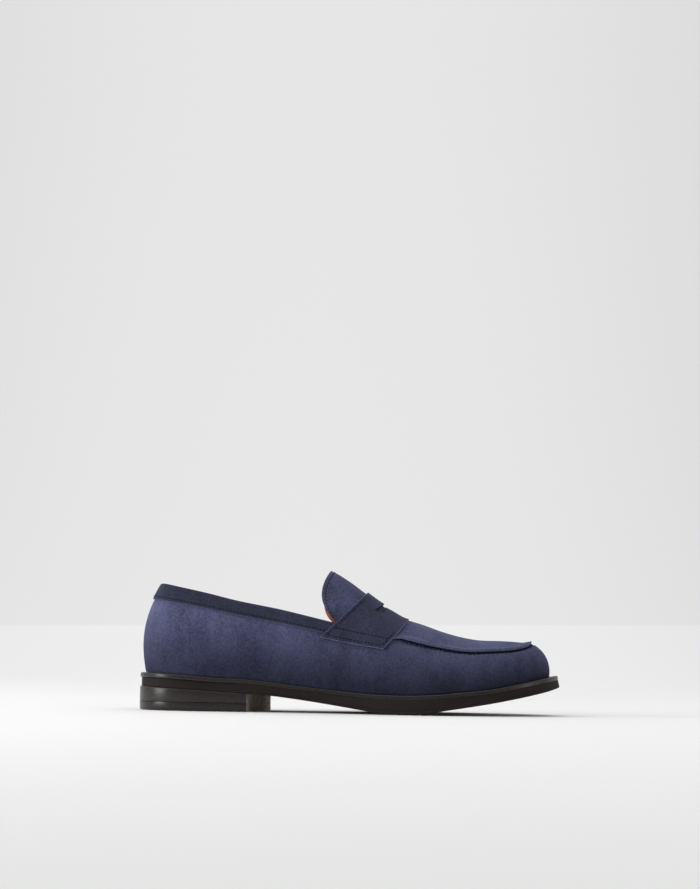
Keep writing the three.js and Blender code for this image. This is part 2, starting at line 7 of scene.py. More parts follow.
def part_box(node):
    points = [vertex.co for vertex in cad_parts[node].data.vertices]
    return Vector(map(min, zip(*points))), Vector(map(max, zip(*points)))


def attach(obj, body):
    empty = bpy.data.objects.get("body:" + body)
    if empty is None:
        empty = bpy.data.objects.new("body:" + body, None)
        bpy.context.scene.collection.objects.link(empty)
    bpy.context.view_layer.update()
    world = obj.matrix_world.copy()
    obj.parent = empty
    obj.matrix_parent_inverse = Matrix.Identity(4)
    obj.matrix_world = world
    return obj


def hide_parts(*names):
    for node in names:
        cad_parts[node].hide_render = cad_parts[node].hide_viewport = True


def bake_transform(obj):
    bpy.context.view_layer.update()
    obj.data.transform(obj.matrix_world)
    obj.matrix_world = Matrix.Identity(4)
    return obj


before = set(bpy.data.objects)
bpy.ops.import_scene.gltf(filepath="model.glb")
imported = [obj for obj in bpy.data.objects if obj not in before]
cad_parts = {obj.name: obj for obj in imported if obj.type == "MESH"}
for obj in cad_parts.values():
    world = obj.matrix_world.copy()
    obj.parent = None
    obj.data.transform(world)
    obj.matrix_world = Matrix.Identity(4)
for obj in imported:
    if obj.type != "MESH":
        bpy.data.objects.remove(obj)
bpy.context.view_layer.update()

# A man's penny loafer for the right foot, in navy suede, dressed over its frame of separate pieces.
# The last's tables are in millimetres of the frame: +X to the toe, +Y to the inner side, +Z up.
SHOE = "shoe"
TONGUE_BODY = "tongue_body"
TABLE_LENGTH = 299.6                      # length of the sole in the tables
SOLE_LOW, SOLE_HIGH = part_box("outsole")
MM = (SOLE_HIGH.x - SOLE_LOW.x) / TABLE_LENGTH

# ---------------------------------------------------------------- the last

WELT_TOP = [(-150, 26.4), (-130, 25.9), (-100, 24.0), (-70, 22.6), (-40, 19.4), (-10, 16.2), (15, 14.1),
            (40, 13.7), (60, 14.6), (80, 16.6), (100, 18.9), (120, 23.0), (148, 28.7)]
UNDERSIDE = [(-150, 17.0), (-100, 14.4), (-60, 11.9), (-40, 9.7), (-14, 6.1), (6, 3.0), (18, 1.1), (30, 0),
             (42, 0), (54, 1.3), (70, 4.0), (87, 6.7), (104, 9.7), (121, 13.1), (139, 17.2), (150, 20.3)]
RIDGE = [(-23, 104.6), (-15.3, 101.0), (-8.8, 97.9), (-0.1, 92.5), (8.6, 86.0), (17, 79.9), (23.5, 75.2),
         (30.4, 70.5), (36, 67.6), (43.4, 65.6), (52, 63.2), (65, 58.8), (78, 55.3), (91, 53.2),
         (108, 52.7), (128, 51.6)]
# Round the upper: feather edge (x, y), seam or topline (x, y, z), swell (low, high, drop of the high one).
HEEL_STATION = ((-146.3, 0), (-134.9, 0, 91.0), (4.8, 13.6, 0.36))
TOE_STATION = ((142.3, 2.5), (127.7, 1, 51.8), (1.3, 11.8, 0.16))
OUTER_STATIONS = [
    ((-142.5, -13), (-131.5, -7.5, 90.6), (4.4, 12.5, 0.36)),
    ((-131, -25), (-119.8, -15.5, 88.0), (3.6, 10.5, 0.36)),
    ((-113, -31), (-103, -22, 84.3), (3.0, 8.5, 0.36)),
    ((-83, -31.5), (-80.7, -26, 78.9), (3.0, 7.0, 0.36)),
    ((-50, -31), (-50, -29, 73.0), (3.5, 6.5, 0.36)),
    ((-21, -34), (-21, -31, 66.2), (4.0, 6.5, 0.34)),
    ((5, -39.5), (5, -35, 60.0), (3.5, 6.5, 0.32)),
    ((30, -46.5), (30, -38, 54.8), (3.0, 8.0, 0.30)),
    ((57, -49.5), (56, -38, 48.8), (2.5, 9.0, 0.26)),
    ((82, -46.5), (80, -36.5, 45.2), (2.0, 9.0, 0.24)),
    ((104, -39.5), (99, -31.5, 45.6), (2.0, 9.0, 0.22)),
    ((123.5, -29.5), (114.5, -24.5, 46.8), (1.8, 10.0, 0.20)),
    ((136.5, -15.5), (124, -13.5, 49.4), (1.5, 11.2, 0.18)),
]
INNER_STATIONS = [
    ((-142.5, 13), (-131.5, 7.5, 90.6), (4.4, 12.5, 0.36)),
    ((-131, 25), (-119.8, 15.5, 88.0), (3.6, 10.5, 0.36)),
    ((-113, 31), (-103, 22, 84.3), (3.0, 8.5, 0.36)),
    ((-83, 31), (-80.7, 26, 78.9), (3.0, 7.0, 0.36)),
    ((-50, 28.5), (-50, 28.5, 73.0), (4.0, 6.0, 0.36)),
    ((-21, 28.5), (-21, 29.5, 66.2), (5.0, 5.5, 0.34)),
    ((5, 33.5), (5, 32.5, 60.0), (4.5, 6.0, 0.32)),
    ((32, 42.5), (30, 35.5, 54.8), (3.5, 8.0, 0.30)),
    ((60, 48.5), (56, 37, 48.8), (2.5, 9.0, 0.26)),
    ((86, 46.5), (80, 36.5, 45.2), (2.0, 9.0, 0.24)),
    ((107, 41), (100, 32, 45.6), (2.0, 9.0, 0.22)),
    ((125.5, 32), (115, 25.5, 46.8), (1.8, 10.0, 0.20)),
    ((137, 19), (124, 15, 49.4), (1.5, 11.2, 0.18)),
]
STATIONS = [HEEL_STATION, *OUTER_STATIONS, TOE_STATION, *reversed(INNER_STATIONS)]
ROUND = len(STATIONS)
TOE = len(OUTER_STATIONS) + 1
SOLE_OUTER_SIDE = [(-150.6, 0), (-147, -14), (-135, -27), (-116, -33.2), (-80, -33.4), (-45, -33),
                   (-18, -36.5), (6, -43), (30, -50.3), (57, -53), (83, -50), (106, -43), (127.5, -32),
                   (142.5, -17), (149.8, 3)]
SOLE_INNER_SIDE = [(-150.6, 0), (-147, 14), (-135, 27), (-116, 33.2), (-80, 33), (-45, 30), (-18, 30.5),
                   (6, 36.5), (34, 46), (62, 52), (88, 50.5), (110, 44.5), (129.5, 35), (143.5, 21),
                   (149.8, 3)]

GAP = 0.3                # clearance between pieces that touch
LASTING_MARGIN = 11.0
WELT_THICKNESS = 3.2
WELT_WIDTH = 12.0
SPREAD = 0.725           # share of the wall's height where the strap ends
STRAP_SEAM = 0.78        # share of the strap's half length that lies above the seam
COLLAR_SHARE = 0.81      # share of the wall's height where the collar band begins
STRAP_REAR = -74.0       # the strap's rear edge lies in the plane x = z + STRAP_REAR
COLLAR_JOIN = 3.47       # station of the join between heel and side collars
LINING_JOIN = 3.5
VAMP_JOIN = 8.5


def height_curve(points):
    """Smooth z(x) through (x, z) points."""
    xs, zs = np.array(points, float).T
    last = len(xs) - 1
    before = np.maximum(np.arange(last + 1) - 1, 0)
    after = np.minimum(np.arange(last + 1) + 1, last)
    slopes = (zs[after] - zs[before]) / (xs[after] - xs[before])

    def height(x):
        i = np.clip(np.searchsorted(xs, x, side="right") - 1, 0, last - 1)
        width = xs[i + 1] - xs[i]
        t = (x - xs[i]) / width
        blend = t * t * (3 - 2 * t) * (zs[i + 1] - zs[i])
        bend = (t**3 - 2 * t * t + t) * slopes[i] * width + (t**3 - t * t) * slopes[i + 1] * width
        return zs[i] + blend + bend

    return height


welt_top = height_curve(WELT_TOP)
tread = height_curve(UNDERSIDE)
ridge = height_curve(RIDGE)


def underside(x):
    return np.maximum(tread(x), 0.0)


def loop(points):
    """Closed smooth curve through the points; its parameter counts them."""
    points = np.array(points, float)
    count = len(points)

    def at(place):
        place = np.asarray(place, float)
        i = np.floor(place).astype(int)
        w = (place - i)[..., None]
        a, b, c, d = (points[(i + k) % count] for k in (-1, 0, 1, 2))
        steps = [np.sqrt(np.linalg.norm(q - p, axis=-1))[..., None] for p, q in ((a, b), (b, c), (c, d))]
        before, here, after = (np.maximum(step, 0.01) for step in steps)
        leave = ((b - a) / before - (c - a) / (before + here) + (c - b) / here) * here
        arrive = ((c - b) / here - (d - b) / (here + after) + (d - c) / after) * here
        bow = 3 * (c - b) - 2 * leave - arrive
        return b + leave * w + bow * w**2 + (leave + arrive - 2 * (c - b)) * w**3

    return at


feather_at = loop([(*row[0], 0) for row in STATIONS])
top_at = loop([row[1] for row in STATIONS])
swell_at = loop([row[2] for row in STATIONS])
SOLE_POINTS = [*SOLE_OUTER_SIDE, *reversed(SOLE_INNER_SIDE[1:-1])]
SOLE_ROUND = len(SOLE_POINTS)
sole_at = loop([(x, y, 0) for x, y in SOLE_POINTS])


def unit(v):
    return v / np.maximum(np.linalg.norm(v, axis=-1), 1e-9)[..., None]


def run_length(points):
    """Distance along a run of points from its first one."""
    return np.concatenate([[0], np.cumsum(np.linalg.norm(np.diff(points, axis=0), axis=1))])


def smooth(a, b, x):
    """0 below a, 1 above b, smooth between."""
    t = np.clip((np.asarray(x, float) - a) / (b - a), 0, 1)
    return t * t * (3 - 2 * t)


def bezier(a, b, c, d, t):
    t = np.asarray(t)[..., None]
    s = 1 - t
    return a * s**3 + 3 * b * s * s * t + 3 * c * s * t * t + d * t**3


def outward(curve_at, place):
    """Horizontal direction that leaves the shoe at a place on an outline."""
    ahead = unit(curve_at(place + 0.02) - curve_at(place - 0.02))
    return np.stack([ahead[..., 1], -ahead[..., 0], np.zeros(ahead.shape[:-1])], axis=-1)


def wall(station, share):
    """Outer surface of the wall: share 0 is the feather edge, 1 the seam or topline."""
    station, share = np.broadcast_arrays(np.asarray(station, float), np.asarray(share, float))
    foot = feather_at(station)
    foot[..., 2] = welt_top(foot[..., 0]) + GAP
    out = outward(feather_at, station)
    top = top_at(station)
    swell = swell_at(station)
    height = (top[..., 2] - foot[..., 2])[..., None]
    up = np.array([0, 0, 1.0])
    low = foot + out * swell[..., :1] + up * 0.36 * height
    high = top + out * swell[..., 1:2] - up * swell[..., 2:3] * height
    surface = bezier(foot, low, high, top, np.maximum(share, 0))
    margin = foot + out * np.minimum(share, 0)[..., None] * LASTING_MARGIN
    margin[..., 2] = welt_top(margin[..., 0]) + GAP
    return np.where((share < 0)[..., None], margin, surface)


SCAN = np.linspace(0, TOE, 3001)
OUTER_SCAN = top_at(SCAN)[:, 0]
INNER_SCAN = top_at(ROUND - SCAN)[:, 0]


def outer_station(x):
    return np.interp(x, OUTER_SCAN, SCAN)


def inner_station(x):
    return ROUND - np.interp(x, INNER_SCAN, SCAN)


def crown(x, across):
    """Outer surface of instep and apron: across is -1 at the outer seam and 1 at the inner seam."""
    x, across = np.broadcast_arrays(np.asarray(x, float), np.asarray(across, float))
    outer = top_at(outer_station(x))
    inner = top_at(inner_station(x))
    edge = np.where((across < 0)[..., None], outer, inner)
    middle = (outer[..., 1] + inner[..., 1]) / 2
    peak = ridge(x)
    rise = peak - edge[..., 2]
    reach = edge[..., 1] - middle
    steep = np.minimum(np.abs(rise / (reach + 0.001 * np.sign(reach + 1e-9))), 1)
    centre = np.stack([x, middle, peak], axis=-1)
    near_edge = np.stack([x, edge[..., 1] - reach * (0.33 - 0.2 * steep), edge[..., 2] + rise * 0.5], axis=-1)
    near_centre = np.stack([x, middle + reach * 0.42, peak], axis=-1)
    rim = np.stack([x, edge[..., 1], edge[..., 2]], axis=-1)
    return bezier(centre, near_centre, near_edge, rim, np.abs(across))


def close_in(shape, low, high, is_below, rounds):
    """Halve the span between low and high onto the places where is_below turns false."""
    low = np.full(shape, low)
    high = np.full(shape, high)
    for _ in range(rounds):
        middle = (low + high) / 2
        below = is_below(middle)
        low = np.where(below, middle, low)
        high = np.where(below, high, middle)
    return low, high


def crown_share(x, y):
    """The share across at which the crown at x reaches y."""
    outer = top_at(outer_station(x))[..., 1]
    inner = top_at(inner_station(x))[..., 1]
    y = np.clip(y, outer, inner)
    low, high = close_in(np.shape(x), -1.0, 1.0, lambda across: crown(x, across)[..., 1] < y, 26)
    return (low + high) / 2


def girth(x, around):
    """Section over the instep at x from the strap's outer end (-1) to its inner end (1)."""
    x, around = np.broadcast_arrays(np.asarray(x, float), np.asarray(around, float))
    distance = np.abs(around)
    upper = crown(x, np.clip(around / STRAP_SEAM, -1, 1))
    station = np.where(around < 0, outer_station(x), inner_station(x))
    share = 1 - (1 - SPREAD) * np.clip((distance - STRAP_SEAM) / (1 - STRAP_SEAM), 0, 1.3)
    return np.where((distance <= STRAP_SEAM)[..., None], upper, wall(station, share))


def edge_x(surface, around, edge, start):
    """The x on each girth line where the surface meets the slanted edge x = edge(z)."""
    x = np.full(np.shape(around), float(start))
    for _ in range(60):
        x = x + 0.4 * (edge(surface(x, around)[..., 2]) - x)
    return x


def normals(surface, u, v, du, dv):
    along = surface(u + du, v) - surface(u - du, v)
    up = surface(u, v + dv) - surface(u, v - dv)
    return unit(np.cross(along, up))


def lift(surface, u, v, distance):
    """Points of surface(u, v) moved out along its normal."""
    du, dv = (0.02, 0.01) if surface is wall else (0.5, 0.02)
    u, v = np.broadcast_arrays(np.asarray(u, float), np.asarray(v, float))
    return surface(u, v) + normals(surface, u, v, du, dv) * np.asarray(distance, float)[..., None]


def share_above(station, rise):
    """Share of the wall's height that lies a given height above the welt."""
    def is_below(share):
        point = wall(station, share)
        return point[..., 2] - welt_top(point[..., 0]) < rise

    return close_in(np.shape(station), 0.0, 0.6, is_below, 24)[0]


WAVE_COUNT = 5


def waves(a, b, seed):
    """Gentle uneven swell of two running lengths in millimetres, between -1 and 1."""
    rng = np.random.default_rng(seed)
    total = 0
    for _ in range(WAVE_COUNT):
        ka, kb = rng.uniform(0.03, 0.16, 2)
        total = total + np.sin(a * ka + rng.uniform(0, 6.3)) * np.sin(b * kb + rng.uniform(0, 6.3))
    return total / WAVE_COUNT


# ---------------------------------------------------------------- mesh tools

def deselect():
    if bpy.context.object and bpy.context.object.mode != "OBJECT":
        bpy.ops.object.mode_set(mode="OBJECT")
    bpy.ops.object.select_all(action="DESELECT")


def take(piece):
    deselect()
    piece.select_set(True)
    bpy.context.view_layer.objects.active = piece


def named(name):
    piece = bpy.context.object
    piece.name = name
    piece.data.name = name
    return piece


def dress(piece, *materials):
    piece.data.materials.clear()
    for material in materials:
        piece.data.materials.append(material)


def cloth_grid(name, points, *materials):
    """A grid primitive laid on rows x columns of points; its front faces columns x rows."""
    rows, columns = points.shape[:2]
    deselect()
    bpy.ops.mesh.primitive_grid_add(x_subdivisions=columns - 1, y_subdivisions=rows - 1, size=0.1)
    piece = named(name)
    piece.data.vertices.foreach_set("co", (points * MM).reshape(-1).astype(np.float32))
    piece.data.update()
    dress(piece, *materials)
    return piece


def drop_faces(piece, faces):
    """Delete faces by their numbers."""
    take(piece)
    bpy.ops.object.mode_set(mode="EDIT")
    bpy.ops.mesh.select_mode(type="FACE")
    bpy.ops.mesh.select_all(action="DESELECT")
    bpy.ops.object.mode_set(mode="OBJECT")
    for face in faces:
        piece.data.polygons[face].select = True
    bpy.ops.object.mode_set(mode="EDIT")
    bpy.ops.mesh.delete(type="FACE")
    bpy.ops.object.mode_set(mode="OBJECT")


def weld(piece, distance=0.02):
    """Join the points where a grid closes on itself or runs to a point."""
    take(piece)
    bpy.ops.object.mode_set(mode="EDIT")
    bpy.ops.mesh.select_all(action="SELECT")
    bpy.ops.mesh.remove_doubles(threshold=distance * MM)
    bpy.ops.object.mode_set(mode="OBJECT")


def modify(piece, kind, **settings):
    """Add a modifier and apply it."""
    take(piece)
    modifier = piece.modifiers.new(kind.title(), kind)
    for key, value in settings.items():
        setattr(modifier, key, value)
    bpy.ops.object.modifier_apply(modifier=modifier.name)


def thicken(piece, thickness, rim_slot=0):
    modify(piece, "SOLIDIFY", thickness=thickness * MM, offset=-1, use_rim=True,
           material_offset_rim=rim_slot)


def soften(piece, width, look=-1):
    """Round the edges; look is the material slot of the rounding, -1 for that of its neighbours."""
    modify(piece, "BEVEL", width=width * MM, segments=2, limit_method="ANGLE",
           angle_limit=math.radians(40), material=look)


def shade(piece, angle=50):
    take(piece)
    bpy.ops.object.shade_smooth_by_angle(angle=math.radians(angle))


def settle(piece, slot, *nodes):
    """Smooth the finished piece, attach it to the shoe's body and hide the frame parts it stands for; slot is
    not used.
    """
    shade(piece)
    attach(piece, SHOE)
    if nodes:
        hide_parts(*nodes)


# ---------------------------------------------------------------- materials

def socket(group, name, kind, direction, value=None):
    item = group.interface.new_socket(name=name, in_out=direction, socket_type=kind)
    if value is not None:
        item.default_value = value


def wire(tree, *pairs):
    for start, end in pairs:
        tree.links.new(start, end)


def noise(tree, vector, scale, detail=3.0, roughness=0.5, distortion=0.0):
    node = tree.nodes.new("ShaderNodeTexNoise")
    node.inputs["Scale"].default_value = scale
    node.inputs["Detail"].default_value = detail
    node.inputs["Roughness"].default_value = roughness
    node.inputs["Distortion"].default_value = distortion
    wire(tree, (vector, node.inputs["Vector"]))
    return node.outputs["Fac"]


def stretched(tree, vector, scale):
    node = tree.nodes.new("ShaderNodeMapping")
    node.inputs["Scale"].default_value = scale
    wire(tree, (vector, node.inputs["Vector"]))
    return node.outputs["Vector"]


def maths(tree, operation, a, b=None, c=None, clamp=False):
    node = tree.nodes.new("ShaderNodeMath")
    node.operation = operation
    node.use_clamp = clamp
    for place, value in enumerate((a, b, c)):
        if value is None:
            continue
        if isinstance(value, (int, float)):
            node.inputs[place].default_value = value
        else:
            wire(tree, (value, node.inputs[place]))
    return node.outputs[0]


def mixed(tree, factor, a, b):
    node = tree.nodes.new("ShaderNodeMix")
    node.data_type = "RGBA"
    for place, value in ((0, factor), (6, a), (7, b)):
        if isinstance(value, (int, float, tuple)):
            node.inputs[place].default_value = value
        else:
            wire(tree, (value, node.inputs[place]))
    return node.outputs[2]


def centred(tree, value, gain, base):
    """A pattern's swing about its middle, times gain, added to base."""
    return maths(tree, "MULTIPLY_ADD", maths(tree, "SUBTRACT", value, 0.5), gain, base)


def new_group(name, inputs, outputs):
    group = bpy.data.node_groups.new(name, "ShaderNodeTree")
    for label, kind, value in inputs:
        socket(group, label, kind, "INPUT", value)
    for label, kind in outputs:
        socket(group, label, kind, "OUTPUT")
    return group, group.nodes.new("NodeGroupInput").outputs, group.nodes.new("NodeGroupOutput").inputs


COLOUR = "NodeSocketColor"
NUMBER = "NodeSocketFloat"
VECTOR = "NodeSocketVector"
WHITE = (1, 1, 1, 1)


def nap_group():
    """Brushed nap: cloudy shading, short streaks and a fine fibre."""
    group, into, out = new_group(
        "brushed_nap",
        [("Vector", VECTOR, None), ("Dark", COLOUR, WHITE), ("Light", COLOUR, WHITE),
         ("Cloud", NUMBER, 1.0), ("Fibre", NUMBER, 1.0)],
        [("Colour", COLOUR), ("Roughness", NUMBER), ("Height", NUMBER)])
    brushed = stretched(group, into["Vector"], (1.0, 1.0, 0.45))
    cloud = noise(group, brushed, 34, 3.0, 0.55, 0.6)
    patch = noise(group, brushed, 130, 3.0, 0.6, 0.4)
    tuft = noise(group, into["Vector"], 620, 2.0, 0.6)
    fibre = noise(group, into["Vector"], 2300, 2.0, 0.7)
    total = centred(group, cloud, 1.5, 0.5)
    total = centred(group, patch, 0.8, total)
    total = centred(group, total, into["Cloud"], 0.5)
    speck = maths(group, "ADD", maths(group, "MULTIPLY", maths(group, "SUBTRACT", tuft, 0.5), 0.9),
                  maths(group, "MULTIPLY", maths(group, "SUBTRACT", fibre, 0.5), 0.9))
    total = maths(group, "MULTIPLY_ADD", speck, into["Fibre"], total, clamp=True)
    wire(group,
         (mixed(group, total, into["Dark"], into["Light"]), out["Colour"]),
         (maths(group, "MULTIPLY_ADD", patch, 0.12, 0.84), out["Roughness"]),
         (maths(group, "ADD", maths(group, "MULTIPLY", tuft, 0.5), maths(group, "MULTIPLY", fibre, 0.5)),
          out["Height"]))
    return group


def grain_group():
    """Smooth leather or rubber: fine pebble, faint cloud of shade and rubbed patches."""
    group, into, out = new_group(
        "fine_grain",
        [("Vector", VECTOR, None), ("Dark", COLOUR, WHITE), ("Light", COLOUR, WHITE),
         ("Scale", NUMBER, 900.0), ("Rough", NUMBER, 0.5)],
        [("Colour", COLOUR), ("Roughness", NUMBER), ("Height", NUMBER)])
    pebble = group.nodes.new("ShaderNodeTexVoronoi")
    pebble.feature = "SMOOTH_F1"
    wire(group, (into["Vector"], pebble.inputs["Vector"]), (into["Scale"], pebble.inputs["Scale"]))
    cloud = noise(group, into["Vector"], 45, 4.0, 0.6, 0.3)
    speck = noise(group, into["Vector"], 900, 3.0, 0.6)
    total = centred(group, cloud, 1.6, 0.5)
    total = maths(group, "MULTIPLY_ADD", maths(group, "SUBTRACT", speck, 0.5), 0.7, total, clamp=True)
    rough = centred(group, cloud, 0.25, into["Rough"])
    wire(group,
         (mixed(group, total, into["Dark"], into["Light"]), out["Colour"]),
         (centred(group, speck, 0.2, rough), out["Roughness"]),
         (maths(group, "MULTIPLY_ADD", speck, 0.35, pebble.outputs["Distance"]), out["Height"]))
    return group


def ramp(tree, value, start, end, low):
    """A smooth rise of value from low at start to 1 at end."""
    node = tree.nodes.new("ShaderNodeMapRange")
    node.interpolation_type = "SMOOTHSTEP"
    wire(tree, (value, node.inputs["Value"]), (low, node.inputs["To Min"]))
    node.inputs["From Min"].default_value = start
    node.inputs["From Max"].default_value = end
    return node.outputs["Result"]


def painted_shade_group():
    """Painted shade: darkens a colour towards the first rows of a piece, by the sole, and towards the toe, by
    its UV map.
    """
    group, into, out = new_group(
        "painted_shade_towards_sole_and_toe",
        [("UV", VECTOR, None), ("Colour", COLOUR, WHITE), ("Darkest", NUMBER, 0.5), ("Fore", NUMBER, 0.62)],
        [("Colour", COLOUR)])
    split = group.nodes.new("ShaderNodeSeparateXYZ")
    wire(group, (into["UV"], split.inputs[0]))
    rise = ramp(group, split.outputs["Y"], 0.06, 0.72, into["Darkest"])
    from_toe = maths(group, "ABSOLUTE", maths(group, "SUBTRACT", split.outputs["X"], 0.5))
    back = ramp(group, from_toe, 0.22, 0.4, into["Fore"])
    scale = group.nodes.new("ShaderNodeVectorMath")
    scale.operation = "SCALE"
    wire(group,
         (into["Colour"], scale.inputs[0]), (maths(group, "MULTIPLY", rise, back), scale.inputs["Scale"]),
         (scale.outputs[0], out["Colour"]))
    return group


def material(name, group, values, bump, sockets, stretch=None, low=None):
    """A Principled material fed by one of the finish groups, on Object coordinates."""
    made = bpy.data.materials.new(name)
    made.use_nodes = True
    tree = made.node_tree
    shader = tree.nodes["Principled BSDF"]
    place = tree.nodes.new("ShaderNodeTexCoord").outputs["Object"]
    if stretch:
        place = stretched(tree, place, stretch)
    finish = tree.nodes.new("ShaderNodeGroup")
    finish.node_tree = group
    wire(tree, (place, finish.inputs["Vector"]))
    for key, value in values.items():
        finish.inputs[key].default_value = value
    relief = tree.nodes.new("ShaderNodeBump")
    relief.inputs["Strength"].default_value = bump[0]
    relief.inputs["Distance"].default_value = bump[1] * MM
    colour = finish.outputs["Colour"]
    # low sets how dark the painted shade gets towards the sole and the toe
    if low:
        shading = tree.nodes.new("ShaderNodeGroup")
        shading.node_tree = PAINTED_SHADE
        shading.inputs["Darkest"].default_value = low
        laid = tree.nodes.new("ShaderNodeUVMap").outputs["UV"]
        wire(tree, (laid, shading.inputs["UV"]), (colour, shading.inputs["Colour"]))
        colour = shading.outputs["Colour"]
    wire(tree,
         (colour, shader.inputs["Base Color"]),
         (finish.outputs["Roughness"], shader.inputs["Roughness"]),
         (finish.outputs["Height"], relief.inputs["Height"]),
         (relief.outputs["Normal"], shader.inputs["Normal"]))
    for key, value in sockets.items():
        shader.inputs[key].default_value = value
    return made


NAP = nap_group()
GRAIN = grain_group()
PAINTED_SHADE = painted_shade_group()


def tone(r, g, b):
    """A colour given by its sRGB values, 0 to 255."""
    linear = [((c / 255 + 0.055) / 1.055) ** 2.4 if c > 10 else c / 255 / 12.92 for c in (r, g, b)]
    return (*linear, 1.0)


def suede(name, dark, light, cloud, fibre, relief, fuzz, fuzz_tone, low=None):
    """Napped leather; relief is the strength and depth of its bump, fuzz the weight of its sheen, low how
    dark its painted shade gets towards the sole and the toe.
    """
    return material(name, NAP, {"Dark": tone(*dark), "Light": tone(*light), "Cloud": cloud, "Fibre": fibre},
                    relief, {"Sheen Weight": fuzz, "Sheen Roughness": 0.45, "Sheen Tint": tone(*fuzz_tone),
                             "Specular IOR Level": 0.12}, low=low)


def grained(name, dark, light, scale, rough, relief, shine, stretch=None):
    """Smooth leather, rubber or board; scale is the fineness of its pebble, shine its specular level."""
    return material(name, GRAIN, {"Dark": tone(*dark), "Light": tone(*light), "Scale": scale, "Rough": rough},
                    relief, {"Specular IOR Level": shine}, stretch=stretch)


NAVY = suede("navy_suede", (50, 51, 73), (92, 95, 128), 0.9, 1.3, (0.7, 0.4), 0.25, (150, 155, 190))
# The wall's suede: a lighter tone that carries painted shade, darker towards the sole and towards the toe.
NAVY_WALL = suede("navy_suede_wall", (58, 59, 84), (107, 110, 148), 0.9, 1.3,
                  (0.7, 0.4), 0.2, (150, 155, 190), low=0.3)
DARK_NAVY = suede("dark_navy_suede", (35, 36, 51), (62, 64, 86), 0.7, 1.4,
                  (0.7, 0.4), 0.25, (140, 148, 180))
RAW_EDGE = suede("suede_cut_edge", (68, 74, 96), (116, 122, 148), 0.5, 1.2,
                 (0.6, 0.3), 0.45, (180, 185, 212))
APRON_EDGE = suede("apron_cut_edge", (60, 65, 88), (98, 104, 134), 0.5, 1.2,
                   (0.6, 0.3), 0.4, (170, 176, 206))
# Near-black thread; the same material paints the shade in the apron seam's groove and along the coin slot's
# lips.
DARK_THREAD_AND_SHADE = suede("dark_thread_and_painted_shade", (16, 17, 27), (31, 33, 48), 0.3, 1.0, (0.4, 0.2), 0.1, (120, 125, 160))
LINING = grained("cognac_lining", (160, 82, 36), (205, 122, 62), 1300.0, 0.5, (0.25, 0.2), 0.35)
SOCK = grained("cognac_sock", (150, 80, 38), (196, 120, 66), 1500.0, 0.45, (0.25, 0.2), 0.4)
SOLE_EDGE = grained("sole_edge", (26, 20, 20), (45, 37, 37), 1600.0, 0.3,
                    (0.18, 0.15), 0.42, stretch=(0.25, 0.25, 2.2))
OUTSOLE_EDGE = grained("outsole_edge", (27, 21, 21), (45, 38, 37), 1600.0, 0.7,
                       (0.18, 0.15), 0.15, stretch=(0.25, 0.25, 2.2))
SOLE_BOTTOM = grained("sole_bottom", (34, 30, 29), (56, 50, 47), 700.0, 0.62, (0.5, 0.3), 0.25)
# The welt's upper lip: a lighter tone as painted highlight, where its rounding catches the light.
WELT_LIP_HIGHLIGHT = grained("welt_edge", (46, 43, 43), (74, 70, 70), 1200.0, 0.38,
                    (0.2, 0.15), 0.35, stretch=(0.3, 0.3, 2.0))
# The heel breast is browner than the sole, and its tone is made paler still as painted light on its forward
# face, which the lamps barely reach.
BREAST = grained("heel_breast", (108, 97, 88), (186, 170, 156), 420.0, 0.8, (1.0, 0.8), 0.15)
BOARD = grained("fibre_board", (140, 110, 76), (178, 146, 108), 500.0, 0.85, (0.5, 0.3), 0.15)
CLOTH = grained("stiffened_cloth", (170, 154, 126), (204, 190, 164), 700.0, 0.85, (0.5, 0.3), 0.15)
CORK = grained("granulated_cork", (120, 80, 48), (190, 146, 98), 260.0, 0.9, (0.9, 0.6), 0.1)
FOAM = grained("pad_foam", (206, 196, 156), (228, 220, 186), 900.0, 0.9, (0.6, 0.3), 0.1)
STEEL = material("plain_steel", GRAIN, {"Dark": tone(130, 133, 138), "Light": tone(176, 179, 184),
                                         "Scale": 1500.0, "Rough": 0.35},
                 (0.15, 0.1), {"Metallic": 1.0})
STEEL_NODES = ("shank", "heel_nail_1", "heel_nail_2", "heel_nail_3", "heel_nail_4")
HIDDEN_NODES = {"heel_counter": CLOTH, "toe_puff": CLOTH, "insole_board": BOARD, "bottom_filler": CORK,
                **{node: STEEL for node in STEEL_NODES}}
for node, look in HIDDEN_NODES.items():
    dress(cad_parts[node], look)


# ---------------------------------------------------------------- stitches

EDGE_STITCH = (2.0, 0.8, 0.6)  # length, width and height
TONGUE_STITCH = (2.0, 0.7, 0.5)
HAND_STITCH = (2.2, 0.75, 0.7)


def even_places(points, spacing, margin=0.0):
    """Fractions along a run of points that lie a spacing apart."""
    run = run_length(points)
    count = max(int((run[-1] - 2 * margin) / spacing), 1)
    wanted = margin + (run[-1] - 2 * margin) * (np.arange(count) + 0.5) / count
    return np.interp(wanted, run, np.arange(len(points)))


def sample(values, places):
    low = np.floor(places).astype(int)
    high = np.minimum(low + 1, len(values) - 1)
    w = (places - low)[:, None]
    return values[low] * (1 - w) + values[high] * w


